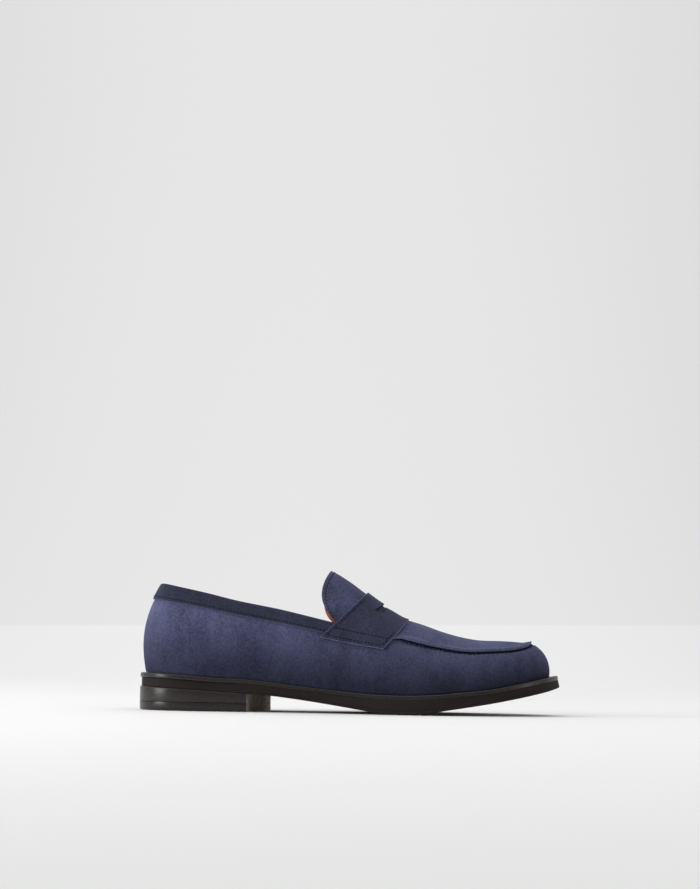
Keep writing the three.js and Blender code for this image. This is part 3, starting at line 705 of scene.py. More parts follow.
def stitches(name, centres, along, out, size, look):
    """Short thread beads: size is length, width and height, each turned to lie along its direction."""
    deselect()
    bpy.ops.mesh.primitive_uv_sphere_add(segments=8, ring_count=6, radius=0.5)
    first = named(name)
    dress(first, look)
    beads = []
    for centre, direction, normal in zip(centres, unit(along), unit(out)):
        side = np.cross(normal, direction)
        side = side / np.linalg.norm(side)
        top = np.cross(direction, side)
        turn = np.column_stack([direction * size[0], side * size[1], top * size[2], centre]) * MM
        bead = first.copy()
        bead.data = first.data.copy()
        bead.data.transform(Matrix([*map(list, turn), [0, 0, 0, 1]]))
        bpy.context.collection.objects.link(bead)
        beads.append(bead)
    bpy.data.objects.remove(first)
    deselect()
    for bead in beads:
        bead.select_set(True)
    bpy.context.view_layer.objects.active = beads[0]
    bpy.ops.object.join()
    row = named(name)
    shade(row, 180)
    return row


def stitch_line(name, points, out, spacing, size, look, margin=0.0, slant=0.0):
    """A row of stitches that lie along a run of points."""
    places = even_places(points, spacing, margin)
    centres = sample(points, places)
    before = sample(points, np.maximum(places - 0.5, 0))
    after = sample(points, np.minimum(places + 0.5, len(points) - 1))
    along = unit(after - before)
    normal = unit(sample(out, places))
    along = along + np.cross(normal, along) * slant
    return stitches(name, centres, along, normal, size, look)


# ---------------------------------------------------------------- upper

SEAM_OPENING = 0.012           # half the back seam, in stations
WALL_THICKNESS = 1.4
PUCKER = 3.4                   # spacing of the hand-sewn puckers


def make_wall():
    """The vamp wall and quarters in one piece, its top turned in under the apron."""
    stations = np.linspace(SEAM_OPENING, ROUND - SEAM_OPENING, 801)
    margin = [-0.6, -0.25, -0.08, 0.0]
    shares = np.concatenate([margin, np.linspace(0.03, 0.86, 26), np.linspace(0.875, 0.985, 12)])
    s, v = np.meshgrid(stations, shares)
    length = run_length(top_at(stations))
    at_seam = smooth(7.6, 8.4, s) * (1 - smooth(ROUND - 8.4, ROUND - 7.6, s))
    groove = at_seam * (smooth(0.86, 0.96, v) * 1.2)
    pucker = at_seam * smooth(0.80, 0.93, v) * 0.22 * np.cos(length[None, :] / PUCKER * 2 * math.pi)
    under_collar = (1 - at_seam) * smooth(0.76, 0.82, v) * 0.25
    swell = 0.35 * waves(length[None, :], v * 60, 3) * smooth(0.0, 0.2, v) * (1 - smooth(0.7, 0.85, v))
    points = lift(wall, s, v, swell - groove + pucker - under_collar)
    quarter_top = (1 - at_seam) * smooth(0.93, 0.985, v)
    points[..., 2] -= quarter_top * 1.2
    under, _ = apron_points(stations, np.array([0.4, 2.0, 5.0]), [])
    turned = []
    for row, drop in zip(under, (0.35, 0.9, 1.7)):
        row[:, 2] -= drop
        weight = at_seam[:1].T
        turned.append(points[-1] * (1 - weight) + row * weight - np.array([0, 0, 0.1]) * drop * (1 - weight))
    points = np.concatenate([points, np.array(turned)])
    piece = cloth_grid("navy_wall", points, NAVY_WALL, DARK_THREAD_AND_SHADE)
    # Painted shade: along the apron seam the wall's top band and its turned-in rows take the near-black
    # thread material, for the shade in the groove.
    sewn = np.nonzero(at_seam[0, :-1] > 0.5)[0]
    for row in range(len(shares) - 2, len(points) - 1):
        for column in sewn:
            piece.data.polygons[int(row * (len(stations) - 1) + column)].material_index = 1
    thicken(piece, WALL_THICKNESS)
    soften(piece, 0.35)
    settle(piece, "navy_suede", "upper_wall")


APRON_START = 7.7              # station where the apron begins, under the strap
SPINE_FRONT = 97.0             # x where the apron's ridge ends and its toe fan begins


def apron_lip(distance, at_toe):
    """Height of the sewn, upturned edge over the apron, by distance in from the seam."""
    knots = np.array([-1.5, -1.1, -0.5, 0.6, 1.8, 3.0, 4.5, 6.5, 9.0])
    height = np.array([1.7, 1.75, 1.6, 1.3, 0.9, 0.45, 0.1, 0.0, 0.0])
    return np.interp(distance, knots, height) * (1 - 0.38 * at_toe)


def apron_points(stations, distances, shares):
    """Rows from beyond the seam to the ridge, columns round the toe; distances in mm, then shares."""
    seam = top_at(stations)
    mirrored = np.minimum(stations, ROUND - stations)
    spine_x = np.minimum(top_at(mirrored)[:, 0], SPINE_FRONT)
    outer = top_at(outer_station(spine_x))[:, 1]
    inner = top_at(inner_station(spine_x))[:, 1]
    spine = np.stack([spine_x, (outer + inner) / 2], axis=-1)
    reach = np.linalg.norm(spine - seam[:, :2], axis=1)
    shares = np.asarray(shares)[:, None]
    start = distances[-1]
    inside = np.repeat(np.asarray(distances)[:, None], len(stations), axis=1)
    if len(shares):
        inside = np.concatenate([inside, start + (reach[None, :] - start) * shares])
    plan = seam[None, :, :2] + (spine - seam[:, :2])[None] * (inside / reach[None, :])[..., None]
    x = np.minimum(plan[..., 0], top_at(TOE)[0] - 0.05)
    across = crown_share(x, plan[..., 1])
    z = crown(x, across)[..., 2]
    z = np.where(inside <= 0.0, seam[None, :, 2], z)
    return np.concatenate([plan, z[..., None]], axis=-1), inside


def make_apron():
    """The raised-seam apron with its upturned, sewn edge."""
    stations = np.linspace(APRON_START, ROUND - APRON_START, 521)
    distances = np.array([-1.5, -1.1, -0.5, 0.1, 0.7, 1.3, 1.9, 2.5, 3.1, 3.8, 4.6, 5.5, 6.5, 8.0])
    shares = np.linspace(0, 1, 22)[1:]
    points, inside = apron_points(stations, distances, shares)
    length = run_length(top_at(stations))[None, :]
    ripple = 0.12 * np.cos(length / PUCKER * 2 * math.pi) * (1 - smooth(1.5, 5.0, inside))
    sag = 0.3 * waves(points[..., 0], points[..., 1], 8) * smooth(6.0, 14.0, inside)
    at_toe = np.exp(-((stations - TOE) / 1.3) ** 2)[None, :]
    free = 0.3 + 0.7 * smooth(0.5, 5.0, points[..., 0] - strap_front(points[..., 2]))
    points[..., 2] += apron_lip(inside, at_toe) * free + ripple + sag
    piece = cloth_grid("navy_apron", points, NAVY, APRON_EDGE)
    weld(piece, 0.004)
    thicken(piece, 1.8, rim_slot=1)
    soften(piece, 0.3, look=1)
    settle(piece, "navy_suede", "apron")


def make_seam_stitches():
    """Hand stitches that cross the groove from the apron's edge down to the wall."""
    count = 1200
    stations = np.linspace(8.25, ROUND - 8.25, count)
    high = lift(wall, stations, 0.965, -0.5)
    low = lift(wall, stations, 0.925, -0.45)
    places = even_places(high, PUCKER * 0.7)
    middle = sample((high + low) / 2, places)
    along = sample(high - low, places)
    ahead = sample(high, np.minimum(places + 1, count - 1)) - sample(high, np.maximum(places - 1, 0))
    out = np.cross(ahead, along)
    slant = along + unit(ahead) * 0.8
    row = stitches("apron_hand_stitches", middle, slant, out, HAND_STITCH, DARK_THREAD_AND_SHADE)
    settle(row, "seam_thread", "apron_seam_thread")


def strap_rear(z):
    return z + STRAP_REAR


STRAP_FRONT_X = 22.7           # where the strap's front edge starts, at its sewn end
STRAP_FRONT_Z = 44.2
STRAP_FRONT_LEAN = 0.83


def strap_front(z):
    return STRAP_FRONT_X + (z - STRAP_FRONT_Z) * STRAP_FRONT_LEAN


SLOT_REACH = 24.7              # half the coin slot's width
# y and x of the slot's two lips.
SLOT_REAR = ([0.0, 6.4, 15.2, 20.0, SLOT_REACH], [22.2, 21.8, 20.4, 18.3, 16.0])
SLOT_FRONT = ([0.0, 8.0, 15.1, 21.6, 23.9, SLOT_REACH], [24.3, 24.0, 23.2, 22.0, 18.9, 16.4])
SLOT_REAR_X, SLOT_FRONT_X = 14.5, 26.0
STRAP_THICKNESS = 1.1


def strap_height(around):
    """The strap lies closer to the instep at its middle than at its sewn ends."""
    return 1.75 + 0.45 * smooth(0.3, 0.75, np.abs(around))


def strap_grid(rear, front, turns):
    """Rows from the strap's rear edge to its front, with the coin slot's two lips as middle rows."""
    across_x = edge_x(girth, turns, lambda z: strap_rear(z) + 14, 22)
    y = np.abs(girth(across_x, turns)[..., 1])
    rear_lip = np.interp(y, *SLOT_REAR)
    front_lip = np.interp(y, *SLOT_FRONT)
    ending = smooth(SLOT_REACH, SLOT_REACH + 9, y)
    middle = (rear + front) / 2
    rear_lip = rear_lip * (1 - ending) + middle * ending
    front_lip = np.maximum(front_lip * (1 - ending) + (middle + 0.5) * ending, rear_lip + 0.3)
    slot_open = y < SLOT_REACH
    behind = np.linspace(rear, rear_lip, 26)
    ahead = np.linspace(front_lip, front, 26)
    return np.concatenate([behind, ahead]), slot_open


def make_strap():
    """The penny strap, dipped at the coin slot, with its cut edges."""
    turns = np.linspace(-1, 1, 281)
    rear = edge_x(girth, turns, strap_rear, 0)
    front = edge_x(girth, turns, strap_front, 30)
    xs, slot_open = strap_grid(rear, front, turns)
    around = turns[None, :]
    lip = len(xs) // 2
    row = np.arange(len(xs))[:, None]
    from_outer = np.cumsum(slot_open)
    from_inner = np.cumsum(slot_open[::-1])[::-1]
    opening = (smooth(0, 10, from_outer) * smooth(0, 10, from_inner))[None, :]
    ahead = np.exp(-(np.maximum(row - lip, 0) / 5.0) ** 2) * (row >= lip)
    behind = np.exp(-(np.maximum(lip - 1 - row, 0) / 5.0) ** 2) * (row < lip)
    middle = np.exp(-((around / 0.12) ** 2))
    dip = (0.2 + 0.6 * middle) * ahead * opening - 0.3 * behind * opening
    front_end = smooth(len(xs) * 0.72, len(xs) - 1, row) * (1 - smooth(0.3, 0.6, np.abs(around)))
    soft = 0.22 * waves(xs * 1.4, around * 60, 21)
    points = lift(girth, xs, around, strap_height(around) + soft - dip - 0.5 * front_end)
    piece = cloth_grid("saddle_strap_suede", points[::-1], DARK_NAVY, RAW_EDGE, DARK_THREAD_AND_SHADE)
    open_columns = np.nonzero(slot_open[:-1] & slot_open[1:])[0]
    drop_faces(piece, [int((lip - 1) * (len(turns) - 1) + column) for column in open_columns])
    thicken(piece, STRAP_THICKNESS, rim_slot=1)
    soften(piece, 0.4, look=1)
    # Painted shade: the cut edges at the coin slot take the near-black thread material, for the shadow along
    # its lips.
    for face in piece.data.polygons:
        x, y, _ = face.center / MM
        if face.material_index == 1 and SLOT_REAR_X < x < SLOT_FRONT_X and abs(y) < SLOT_REACH + 1:
            face.material_index = 2
    settle(piece, "dark_navy_suede", "saddle_strap")


def surface_run(turns, x):
    """Points and normals along the strap's top."""
    return lift(girth, x, turns, strap_height(turns) + 0.12), normals(girth, x, turns, 0.5, 0.01)


def make_backing():
    """The layer under the strap that shows through the coin slot."""
    turns = np.linspace(-0.97, 0.97, 161)
    rear = edge_x(girth, turns, lambda z: strap_rear(z) + 6, 0)
    front = edge_x(girth, turns, lambda z: strap_front(z) - 1.5, 30)
    xs = np.linspace(rear, front, 20)
    points = lift(girth, xs, turns, 0.35)
    piece = cloth_grid("strap_under_layer", points[::-1], DARK_NAVY)
    thicken(piece, 0.3)
    settle(piece, "dark_navy_suede", "strap_backing")


def make_strap_stitches():
    """Rows along the strap's rear edge and front ends, and two across each end."""
    rows = []
    for side, word in ((-1, "outer"), (1, "inner")):
        low = np.linspace(0.34, 0.955, 200) * side
        inset = edge_x(girth, low, lambda z: strap_rear(z) + 3.0, 0)
        rows.append((f"strap_rear_stitches_{word}", low, inset))
        low = np.linspace(0.74, 0.955, 80) * side
        inset = edge_x(girth, low, lambda z: strap_front(z) - 3.0, 30)
        rows.append((f"strap_front_stitches_{word}", low, inset))
        for share, label in ((0.955, "end"), (0.85, "second")):
            turn = np.full(90, share * side)
            rear = edge_x(girth, turn[:1], lambda z: strap_rear(z) + 3.0, 0)[0]
            front = edge_x(girth, turn[:1], lambda z: strap_front(z) - 3.0, 30)[0]
            rows.append((f"strap_{label}_stitches_{word}", turn, np.linspace(rear, front, 90)))
    for name, turns, xs in rows:
        points, out = surface_run(turns, xs)
        row = stitch_line(name, points, out, 2.5, EDGE_STITCH, DARK_THREAD_AND_SHADE)
        settle(row, "seam_thread")


def slanted(stations, shares):
    """The joins of the collar lean: its lower edge lies nearer the heel than its top."""
    lean = 0.11 * (1 - (shares - COLLAR_SHARE) / 0.155)
    turned = (stations + ROUND / 2) % ROUND - ROUND / 2
    return stations - np.sign(turned) * lean * np.exp(-((np.abs(turned) - COLLAR_JOIN) / 0.5) ** 2)


COLLAR_ROLL = 1.6              # radius of the roll at the topline
ROLL_SHARE = 0.965             # share of the wall's height where the roll begins
ROLL_DEPTH = 0.6               # how far inside the wall's surface its centre lies
COLLAR_TURNED_IN = 5.0         # how far the band goes down inside the shoe


def collar_section(stations):
    """Rows from the collar's lower edge up the outside, over the roll and down the inside."""
    outside = np.linspace(COLLAR_SHARE, ROLL_SHARE, 12)
    s, v = np.meshgrid(stations, outside)
    s = slanted(s, v)
    lower_edge = 1.0 + 0.2 * smooth(COLLAR_SHARE, COLLAR_SHARE + 0.05, v)
    length = run_length(top_at(stations))[None, :]
    band = lift(wall, s, v, lower_edge + 0.1 * waves(length, v * 90, 5))
    out = normals(wall, stations, ROLL_SHARE, 0.02, 0.01)
    up = unit(wall(stations, ROLL_SHARE + 0.02) - wall(stations, ROLL_SHARE - 0.02))
    centre = wall(stations, ROLL_SHARE) - out * ROLL_DEPTH
    roll = []
    for angle in np.linspace(0, math.pi, 9):
        roll.append(centre + (out * math.cos(angle) + up * math.sin(angle)) * COLLAR_ROLL)
    for depth in np.linspace(0, COLLAR_TURNED_IN, 5)[1:]:
        roll.append(centre - out * COLLAR_ROLL - up * depth)
    return np.concatenate([band, np.array(roll)])


def make_collar(name, node, stations):
    piece = cloth_grid(name, collar_section(stations), DARK_NAVY, RAW_EDGE)
    thicken(piece, 0.85, rim_slot=1)
    soften(piece, 0.3, look=1)
    settle(piece, "dark_navy_suede", node)


def collar_front(side):
    """Station where the side collar runs under the strap."""
    station = 7.0
    for _ in range(60):
        point = wall(np.array(station if side < 0 else ROUND - station), np.array(0.9))
        station += 0.02 * (strap_rear(point[2]) + 3.5 - point[0])
    return station


def make_collars():
    """The topline band in three pieces, each with its row of stitches."""
    join = 0.004
    front_outer = collar_front(-1)
    front_inner = collar_front(1)
    spans = [("collar_side_outer", "collar_outer_side", COLLAR_JOIN + join, front_outer, 240),
             ("collar_side_inner", "collar_inner_side", ROUND - front_inner, ROUND - COLLAR_JOIN - join, 240),
             ("collar_round_heel", "collar_heel", -COLLAR_JOIN + join, COLLAR_JOIN - join, 260)]
    for name, node, start, end, columns in spans:
        stations = np.linspace(start, end, columns)
        make_collar(name, node, stations)
        share = COLLAR_SHARE + 0.03
        points = lift(wall, slanted(stations, share), share, 1.22)
        out = normals(wall, stations, share, 0.02, 0.01)
        row = stitch_line(name + "_stitches", points, out, 2.7, EDGE_STITCH, DARK_THREAD_AND_SHADE, margin=1.0)
        settle(row, "seam_thread")


LINING_DEPTH = 3.1             # how far inside the outer surface the lining lies
LINING_THICKNESS = 0.85
APRON_LINING_FRONT_X = 118


def make_linings():
    """Calf lining inside the quarters, heel and vamp, and the one under the apron."""
    join = 0.006
    spans = [("heel_grip_calf", "heel_grip", -LINING_JOIN + join, LINING_JOIN - join, 0.93),
             ("quarter_calf_outer", "quarter_lining_outer_side", LINING_JOIN + join, VAMP_JOIN - join, 0.93),
             ("quarter_calf_inner", "quarter_lining_inner_side", ROUND - VAMP_JOIN + join,
              ROUND - LINING_JOIN - join, 0.93),
             ("vamp_calf", "vamp_lining", VAMP_JOIN + join, ROUND - VAMP_JOIN - join, 0.92)]
    for name, node, start, end, top in spans:
        stations = np.linspace(start, end, 181)
        low = share_above(stations, 4.8)
        shares = np.linspace(low, np.full(len(stations), top), 26)
        closer = smooth(0.74, 0.9, shares) * (0.7 if node != "vamp_lining" else 0.0)
        piece = cloth_grid(name, lift(wall, stations, shares, closer - LINING_DEPTH), LINING)
        thicken(piece, LINING_THICKNESS)
        soften(piece, 0.25)
        settle(piece, "lining_leather", node)
    across = np.linspace(0.84, -0.84, 61)
    rear = edge_x(crown, across, lambda z: strap_rear(z) + 8, 4)
    steps = np.sin(np.linspace(0, math.pi / 2, 60))[:, None]
    xs = rear + (APRON_LINING_FRONT_X - rear) * steps
    points = lift(crown, xs, across, -LINING_DEPTH)
    piece = cloth_grid("apron_calf", points, LINING)
    thicken(piece, LINING_THICKNESS)
    settle(piece, "lining_leather", "apron_lining")


# ---------------------------------------------------------------- tongue

LOBE_Z = 84.0


def lobe(z):
    """The tongue's free edge in side view."""
    above = 6.2 * ((z - LOBE_Z) / 17) ** 2
    below = 9.6 * ((LOBE_Z - z) / 18.5) ** 2
    return -21.3 + np.where(z > LOBE_Z, above, below)


TONGUE_WIDEST = 0.85           # where the wings end, in shares of the strap's half length


def wing_drop(around):
    """How far the tongue's wings lie inside the wall beside the collar."""
    return 3.9 * smooth(0.60, 0.79, np.abs(around))


def tongue_grid(name, trim, height, tuck, *materials):
    """A layer of the tongue, from its free edge, moved by trim, to a tuck under the strap."""
    turns = np.linspace(-TONGUE_WIDEST, TONGUE_WIDEST, 141)
    rear = edge_x(girth, turns, lobe, -20) + trim(np.abs(turns))
    front = edge_x(girth, turns, strap_rear, 0) + tuck
    xs = np.linspace(rear, front, 60)
    around = turns[None, :]
    soft = 0.25 * waves(xs * 1.5, around * 64, 13)
    points = lift(girth, xs, around, height + soft - wing_drop(around))
    return cloth_grid(name, points[::-1], *materials), turns, rear


def bend_with_tongue(piece, slot, *nodes):
    """Smooth a piece that is held under the strap at one end and lifts at the other, hide the frame parts it
    stands for and bake its transform; it is not attached to the tongue's body.
    """
    shade(piece)
    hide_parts(*nodes)
    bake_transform(piece)


def make_tongue():
    """The tongue, the row of stitches near its free edge and its lining."""
    piece, turns, rear = tongue_grid("navy_tongue", lambda a: 0 * a, 0.0, 9.0, NAVY, RAW_EDGE)
    thicken(piece, 1.3, rim_slot=1)
    soften(piece, 0.35)
    bend_with_tongue(piece, "navy_suede", "tongue")
    free = np.abs(turns) < 0.72
    turns, xs = turns[free], rear[free] + 2.6
    points = lift(girth, xs, turns, 0.08 - wing_drop(turns))
    out = normals(girth, xs, turns, 0.5, 0.02)
    row = stitch_line("tongue_edge_stitches", points, out, 2.5, TONGUE_STITCH, DARK_THREAD_AND_SHADE, slant=0.5)
    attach(row, TONGUE_BODY)
    lining, _, _ = tongue_grid("tongue_calf", lambda a: 0.8 - 3.7 * smooth(0.59, 0.76, a), -1.5, 6.0, LINING)
    thicken(lining, LINING_THICKNESS)
    soften(lining, 0.25)
    bend_with_tongue(lining, "lining_leather", "tongue_lining")


# ---------------------------------------------------------------- bottom

def ring_points(curve_at, places, insets, heights):
    """Rows of an outline moved in by insets(x) with heights(x), columns round the outline."""
    base = curve_at(places)
    out = outward(curve_at, places)
    rows = []
    for inwards, height in zip(insets, heights):
        depth = inwards(base[:, 0]) if callable(inwards) else np.full(len(places), float(inwards))
        row = base - out * depth[:, None]
        row[:, 2] = height(row[:, 0])
        rows.append(row)
    return np.array(rows)


SPINE_REAR_X, SPINE_FRONT_X = -116.0, 104.0      # where the sole's middle line ends


def spine_row(places, count, height, share, edge):
    """Row that lies a share of the way from an edge row to the shoe's middle line."""
    mirrored = (count - places) % count
    order = np.argsort(places % count)
    there = [np.interp(mirrored, (places % count)[order], edge[order, k]) for k in (0, 1)]
    middle = (edge[:, :2] + np.stack(there, axis=-1)) / 2
    middle[:, 0] = np.clip(middle[:, 0], SPINE_REAR_X, SPINE_FRONT_X)
    plan = edge[:, :2] * (1 - share) + middle * share
    return np.concatenate([plan, height(plan[:, 0])[:, None]], axis=-1)


def slab(name, curve_at, count, rows_bottom, rows_top, *materials):
    """Closed slab: rows from the middle of its underside, round its edge, to the middle of its top."""
    places = np.linspace(0, count, 561)
    rows = rows_bottom + rows_top
    edge = ring_points(curve_at, places, [row[0] for row in rows], [row[1] for row in rows])
    inwards = (0.08, 0.25, 0.5, 0.75, 1)
    below = [spine_row(places, count, rows[0][1], share, edge[0]) for share in reversed(inwards)]
    above = [spine_row(places, count, rows[-1][1], share, edge[-1]) for share in inwards]
    points = np.concatenate([np.array(below), edge, np.array(above)])
    points[:, -1] = points[:, 0]
    piece = cloth_grid(name, points, *materials)
    weld(piece)
    return piece


SEAT_GAP = 0.05                # clearance between the layers of the bottom


def shifted(height, by):
    return lambda x: height(x) + by


def welt_bottom(x):
    return welt_top(x) - WELT_THICKNESS


def levels(low, high):
    """Heights between two surfaces: levels(low, high)(share) is itself a height(x)."""
    return lambda share: lambda x: low(x) + (high(x) - low(x)) * share


def inset(fore, heel):
    """Distance in from the sole's edge, which differs at the forepart and at the heel."""
    return lambda x: heel + (fore - heel) * smooth(-110, -60, x)


def make_outsole():
    """Edge and bottom of the sole, with a shallow groove low on its edge."""
    top = shifted(welt_bottom, -SEAT_GAP)
    level = levels(underside, top)
    rows_bottom = [(inset(1.0, 2.2), underside)]
    rows_edge = [(inset(0.35, 1.6), level(0.03)), (inset(0.0, 1.5), level(0.10)),
                 (inset(0.1, 1.5), level(0.22)), (inset(0.35, 1.5), level(0.24)),
                 (inset(0.15, 1.5), level(0.27)), (inset(0.5, 1.5), level(0.5)),
                 (inset(0.9, 1.5), level(0.8)), (inset(1.05, 1.5), level(0.97)), (inset(1.2, 1.7), top)]
    piece = slab("outsole_edge", sole_at, SOLE_ROUND, rows_bottom, rows_edge, OUTSOLE_EDGE, SOLE_BOTTOM)
    for face in piece.data.polygons:
        face.material_index = 1 if face.normal.z < -0.8 else 0
    settle(piece, "sole_edge", "outsole")


def make_welt():
    """A strip round the feather edge with a rounded upper lip, which carries a painted highlight."""
    places = np.linspace(0, SOLE_ROUND, 561)
    level = levels(welt_bottom, welt_top)
    rows = [(WELT_WIDTH, level(0)), (inset(1.35, 0.75), level(0)), (inset(1.15, 0.5), level(0.05)),
            (inset(1.2, 0.45), level(0.2)), (inset(1.25, 0.45), level(0.55)), (inset(1.45, 0.6), level(0.8)),
            (inset(1.75, 0.9), level(0.94)), (inset(2.3, 1.4), level(1.0)), (WELT_WIDTH, level(1)),
            (WELT_WIDTH, level(0))]
    points = ring_points(sole_at, places, [row[0] for row in rows], [row[1] for row in rows])
    points[:, -1] = points[:, 0]
    piece = cloth_grid("welt_strip", points, SOLE_EDGE, WELT_LIP_HIGHLIGHT)
    # Painted highlight: the faces of the upper lip take the lighter material.
    lip_highlight_rows = (6, 8)
    across = len(places) - 1
    for face in range(lip_highlight_rows[0] * across, lip_highlight_rows[1] * across):
        piece.data.polygons[face].material_index = 1
    weld(piece)
    settle(piece, "welt_edge", "welt")


BREAST_OUTER_X = -73.0
BREAST_INNER_X = -57.6
HEEL_CENTRE = (-104.0, 0.0)


def heel_outline(depth):
    """Plan of the heel: the sole's edge back from the breast, then the slightly hollow breast."""
    places = np.linspace(0, SOLE_ROUND, 3001)
    edge = sole_at(places) - outward(sole_at, places) * depth
    half = SOLE_ROUND / 2
    outer = [p for p, place in zip(edge, places) if place <= half and p[0] <= BREAST_OUTER_X]
    inner = [p for p, place in zip(edge, places) if place > half and p[0] <= BREAST_INNER_X]
    corner_y = np.interp(BREAST_OUTER_X, [p[0] for p in outer], [p[1] for p in outer])
    outer.append([BREAST_OUTER_X, corner_y, 0])
    inner.insert(0, [BREAST_INNER_X, inner[0][1], 0])
    rim = np.array(inner + outer)[:, :2]
    run = run_length(rim)
    rim = np.stack([np.interp(np.linspace(0, run[-1], 240), run, rim[:, k]) for k in (0, 1)], axis=-1)
    t = np.linspace(0, 1, 42)[1:-1, None]
    breast = rim[-1] + (rim[0] - rim[-1]) * t
    breast[:, 0] -= 1.6 * np.sin(math.pi * t[:, 0])
    return np.concatenate([rim, breast])


def heel_layer(name, node, rows):
    """A stack of outlines: each row is (depth in from the edge, height(x)), from the underside up."""
    rings = []
    for depth, height in rows:
        plan = heel_outline(depth)
        rings.append(np.concatenate([plan, height(plan[:, 0])[:, None]], axis=-1))
    poles = []
    for ring, height in ((rings[0], rows[0][1]), (rings[-1], rows[-1][1])):
        for share in (1.0, 0.6, 0.2):
            plan = ring[:, :2] * (1 - share) + np.array(HEEL_CENTRE) * share
            poles.append(np.concatenate([plan, height(plan[:, 0])[:, None]], axis=-1))
    points = np.array(poles[:3] + rings + poles[:2:-1])
    points = np.concatenate([points, points[:, :1]], axis=1)
    piece = cloth_grid(name, points, SOLE_EDGE, BREAST, SOLE_BOTTOM)
    weld(piece)
    # Forward faces take the breast material, whose pale tone is partly painted light.
    for face in piece.data.polygons:
        forward = face.normal.x > 0.8 and abs(face.normal.z) < 0.6
        face.material_index = 1 if forward else (2 if face.normal.z < -0.9 else 0)
    settle(piece, "sole_edge", node)


def make_heel():
    """Rubber top piece on the ground and the stacked heel above it."""
    floor, joint = (corner.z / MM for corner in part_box("heel_top_piece"))
    top = shifted(underside, -SEAT_GAP)

    def flat(z):
        return lambda x: np.full(np.shape(x), float(z))

    heel_layer("heel_top_rubber", "heel_top_piece",
               [(2.0, flat(floor)), (1.2, flat(floor + 0.25)), (0.55, flat(floor + 0.9)),
                (0.3, flat(floor + 1.8)), (0.3, flat(joint - 0.5)), (0.38, flat(joint - 0.12)),
                (0.75, flat(joint))])
    base = joint + 0.08
    level = levels(flat(base), top)
    heel_layer("heel_stack", "heel_block",
               [(0.75, flat(base)), (0.38, flat(base + 0.12)), (0.3, flat(base + 0.5)),
                (0.35, level(0.5)), (0.4, level(0.9)), (0.6, level(0.98)), (0.9, top)])


UPPER_THICKNESS = 1.6
BOARD_THICKNESS = 2.0
PAD_RISE = 2.7                 # how far the sock liner climbs over the heel pad
PAD_INSET = 9.0
board_top = shifted(welt_top, 2 * GAP + UPPER_THICKNESS + BOARD_THICKNESS)


def make_sock_liner():
    """Calf sock liner that climbs over the heel pad."""
    def sock_bottom(x):
        return board_top(x) + GAP + smooth(56, 81, -np.asarray(x)) * PAD_RISE

    piece = slab("sock_liner_calf", feather_at, ROUND, [(4.5, sock_bottom)],
                 [(4.2, shifted(sock_bottom, 0.35)), (4.3, shifted(sock_bottom, 0.9)),
                  (4.7, shifted(sock_bottom, 1.15))], SOCK)
    settle(piece, "lining_leather", "sock_liner")


def make_heel_pad():
    """Foam pad, domed, with the shape of the heel."""
    low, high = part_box("heel_pad")
    rear, front = low.x / MM, high.x / MM
    x = rear + (front - rear) * (1 - np.cos(np.linspace(0, math.pi, 61))) / 2
    places = np.linspace(0, ROUND, 4001)
    edge = feather_at(places) - outward(feather_at, places) * PAD_INSET
    outer = np.interp(x, edge[:2000, 0], edge[:2000, 1])
    inner = np.interp(x, edge[:2000:-1, 0], edge[:2000:-1, 1])
    across = np.linspace(-1, 1, 41)[:, None]
    middle, half = (outer + inner) / 2, (inner - outer) / 2 * 0.99
    y = middle[None] + half[None] * across
    dome = (1 - across**6) * (1 - np.abs(2 * (x - rear) / (front - rear) - 1) ** 8)[None]
    z = board_top(x)[None] + 0.5 + 1.9 * np.clip(dome, 0, 1)
    rows = np.stack([np.broadcast_to(x, y.shape), y, z], axis=-1)
    pad = cloth_grid("heel_pad_foam", rows, FOAM)
    modify(pad, "SOLIDIFY", thickness=0.4 * MM, offset=-1)
    settle(pad, "foam", "heel_pad")


# ---------------------------------------------------------------- stage, light and camera

FLOOR_GLOW = 0.68
WALL_GLOW = 0.63
BACK_Y = 1.3                   # metres: where the floor begins to turn up
TURN_RADIUS = 0.9
HALF_WIDTH = 9.0
WALL_TOP = 4.0
WALL_STARTS_Z = 0.0695


def stretch_to(tree, value, start, length):
    """0 below start and 1 above start + length."""
    return maths(tree, "MULTIPLY_ADD", value, 1 / length, -start / length, clamp=True)


def floor_material():
    """Pale floor whose far part glows a little, a step darker where it turns up behind the shoe.

    The step leans as the camera does, so it lies level in the view.
    """
    made = bpy.data.materials.new("pale_floor")
    made.use_nodes = True
    tree = made.node_tree
    shader = tree.nodes["Principled BSDF"]
    split = tree.nodes.new("ShaderNodeSeparateXYZ")
    wire(tree, (tree.nodes.new("ShaderNodeTexCoord").outputs["Object"], split.inputs[0]))
    far = stretch_to(tree, split.outputs["Y"], 0.5, 0.9)
    level = maths(tree, "MULTIPLY_ADD", split.outputs["X"], -math.tan(CAMERA_ROLL), split.outputs["Z"])
    rise = stretch_to(tree, level, WALL_STARTS_Z, 0.002)
    side = maths(tree, "POWER", maths(tree, "ABSOLUTE", maths(tree, "ADD", split.outputs["X"], 0.04)), 2.0)
    glow = maths(tree, "MULTIPLY_ADD", rise, WALL_GLOW - FLOOR_GLOW, FLOOR_GLOW)
    fade = maths(tree, "MAXIMUM", maths(tree, "MULTIPLY_ADD", side, -0.3, 1.0), 0.9)
    glow = maths(tree, "MULTIPLY", glow, fade)
    wire(tree,
         (mixed(tree, far, tone(246, 246, 246), tone(120, 120, 120)), shader.inputs["Base Color"]),
         (maths(tree, "MULTIPLY", far, glow), shader.inputs["Emission Strength"]))
    shader.inputs["Emission Color"].default_value = WHITE
    shader.inputs["Roughness"].default_value = 0.9
    shader.inputs["Specular IOR Level"].default_value = 0.1
    return made


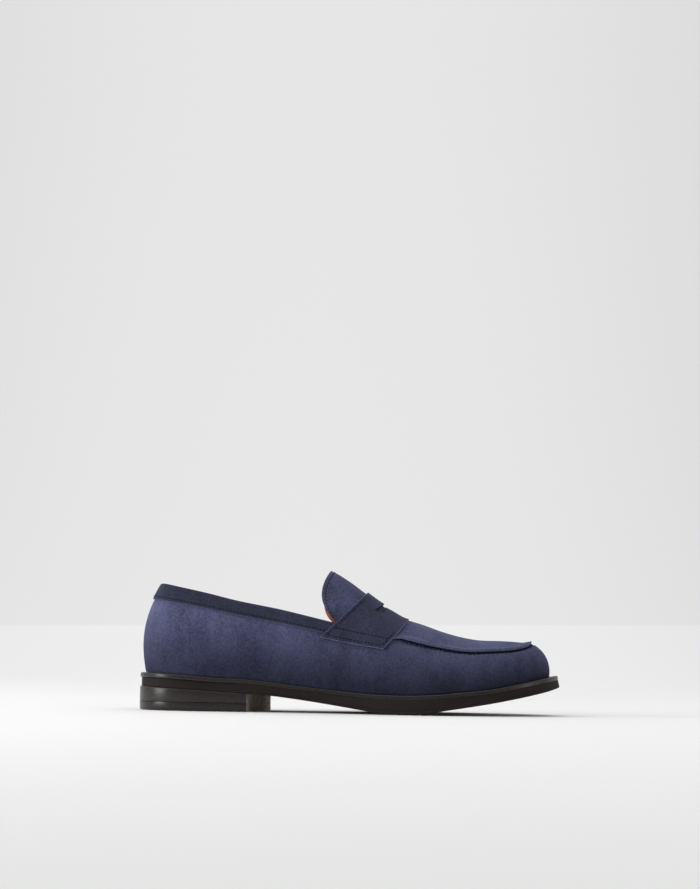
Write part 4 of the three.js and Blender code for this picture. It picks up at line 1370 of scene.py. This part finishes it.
def make_stage():
    """A floor that sweeps up into a wall."""
    turn = np.linspace(0, math.pi / 2, 17)
    y = np.concatenate([[-HALF_WIDTH], BACK_Y + TURN_RADIUS * np.sin(turn), [BACK_Y + TURN_RADIUS]])
    z = np.concatenate([[0.0], TURN_RADIUS * (1 - np.cos(turn)), [WALL_TOP]])
    points = np.array([[[x, y[i], z[i]] for x in (-HALF_WIDTH, HALF_WIDTH)] for i in range(len(y))])
    sweep = cloth_grid("studio_sweep", points / MM, floor_material())
    shade(sweep, 60)


def area_light(name, place, aim, size, power):
    data = bpy.data.lights.new(name, "AREA")
    data.shape = "RECTANGLE"
    data.size, data.size_y = size
    data.energy = power
    light = bpy.data.objects.new(name, data)
    light.location = place
    light.rotation_euler = (Vector(aim) - Vector(place)).to_track_quat("-Z", "Y").to_euler()
    bpy.context.collection.objects.link(light)


def make_light():
    """A dim even sky, a broad light overhead and a small one at each end."""
    world = bpy.data.worlds.new("studio")
    world.use_nodes = True
    sky = world.node_tree.nodes["Background"]
    sky.inputs["Color"].default_value = WHITE
    sky.inputs["Strength"].default_value = 0.33
    bpy.context.scene.world = world
    area_light("overhead", (-0.7, 0.3, 3.0), (0, 0, 0), (5.0, 5.0), 84)
    area_light("heel_side", (-1.6, -0.6, 0.5), (0, 0, 0.05), (0.8, 0.9), 15)
    area_light("toe_side", (1.6, -0.6, 0.5), (0.05, 0, 0.03), (0.6, 0.6), 2.5)


CAMERA_PLACE = (-0.0031, -2.0, 0.0522)
CAMERA_PITCH = math.radians(4.0)
CAMERA_ROLL = math.radians(0.95)
CAMERA_LENS = 112.82            # millimetres, on a sensor 36 mm high


def make_camera():
    data = bpy.data.cameras.new("camera")
    data.sensor_fit = "VERTICAL"
    data.sensor_height = 36.0
    data.lens = CAMERA_LENS
    data.clip_end = 30
    camera = bpy.data.objects.new("camera", data)
    turn = Matrix.Rotation(math.pi / 2 + CAMERA_PITCH, 4, "X") @ Matrix.Rotation(CAMERA_ROLL, 4, "Z")
    camera.matrix_world = Matrix.Translation(CAMERA_PLACE) @ turn
    bpy.context.collection.objects.link(camera)
    bpy.context.scene.camera = camera
    bpy.context.scene.view_settings.view_transform = "Standard"


make_camera()
make_light()
make_stage()
make_wall()
make_apron()
make_seam_stitches()
make_strap()
make_backing()
make_strap_stitches()
make_collars()
make_linings()
make_tongue()
make_outsole()
make_welt()
make_heel()
make_sock_liner()
make_heel_pad()
deselect()
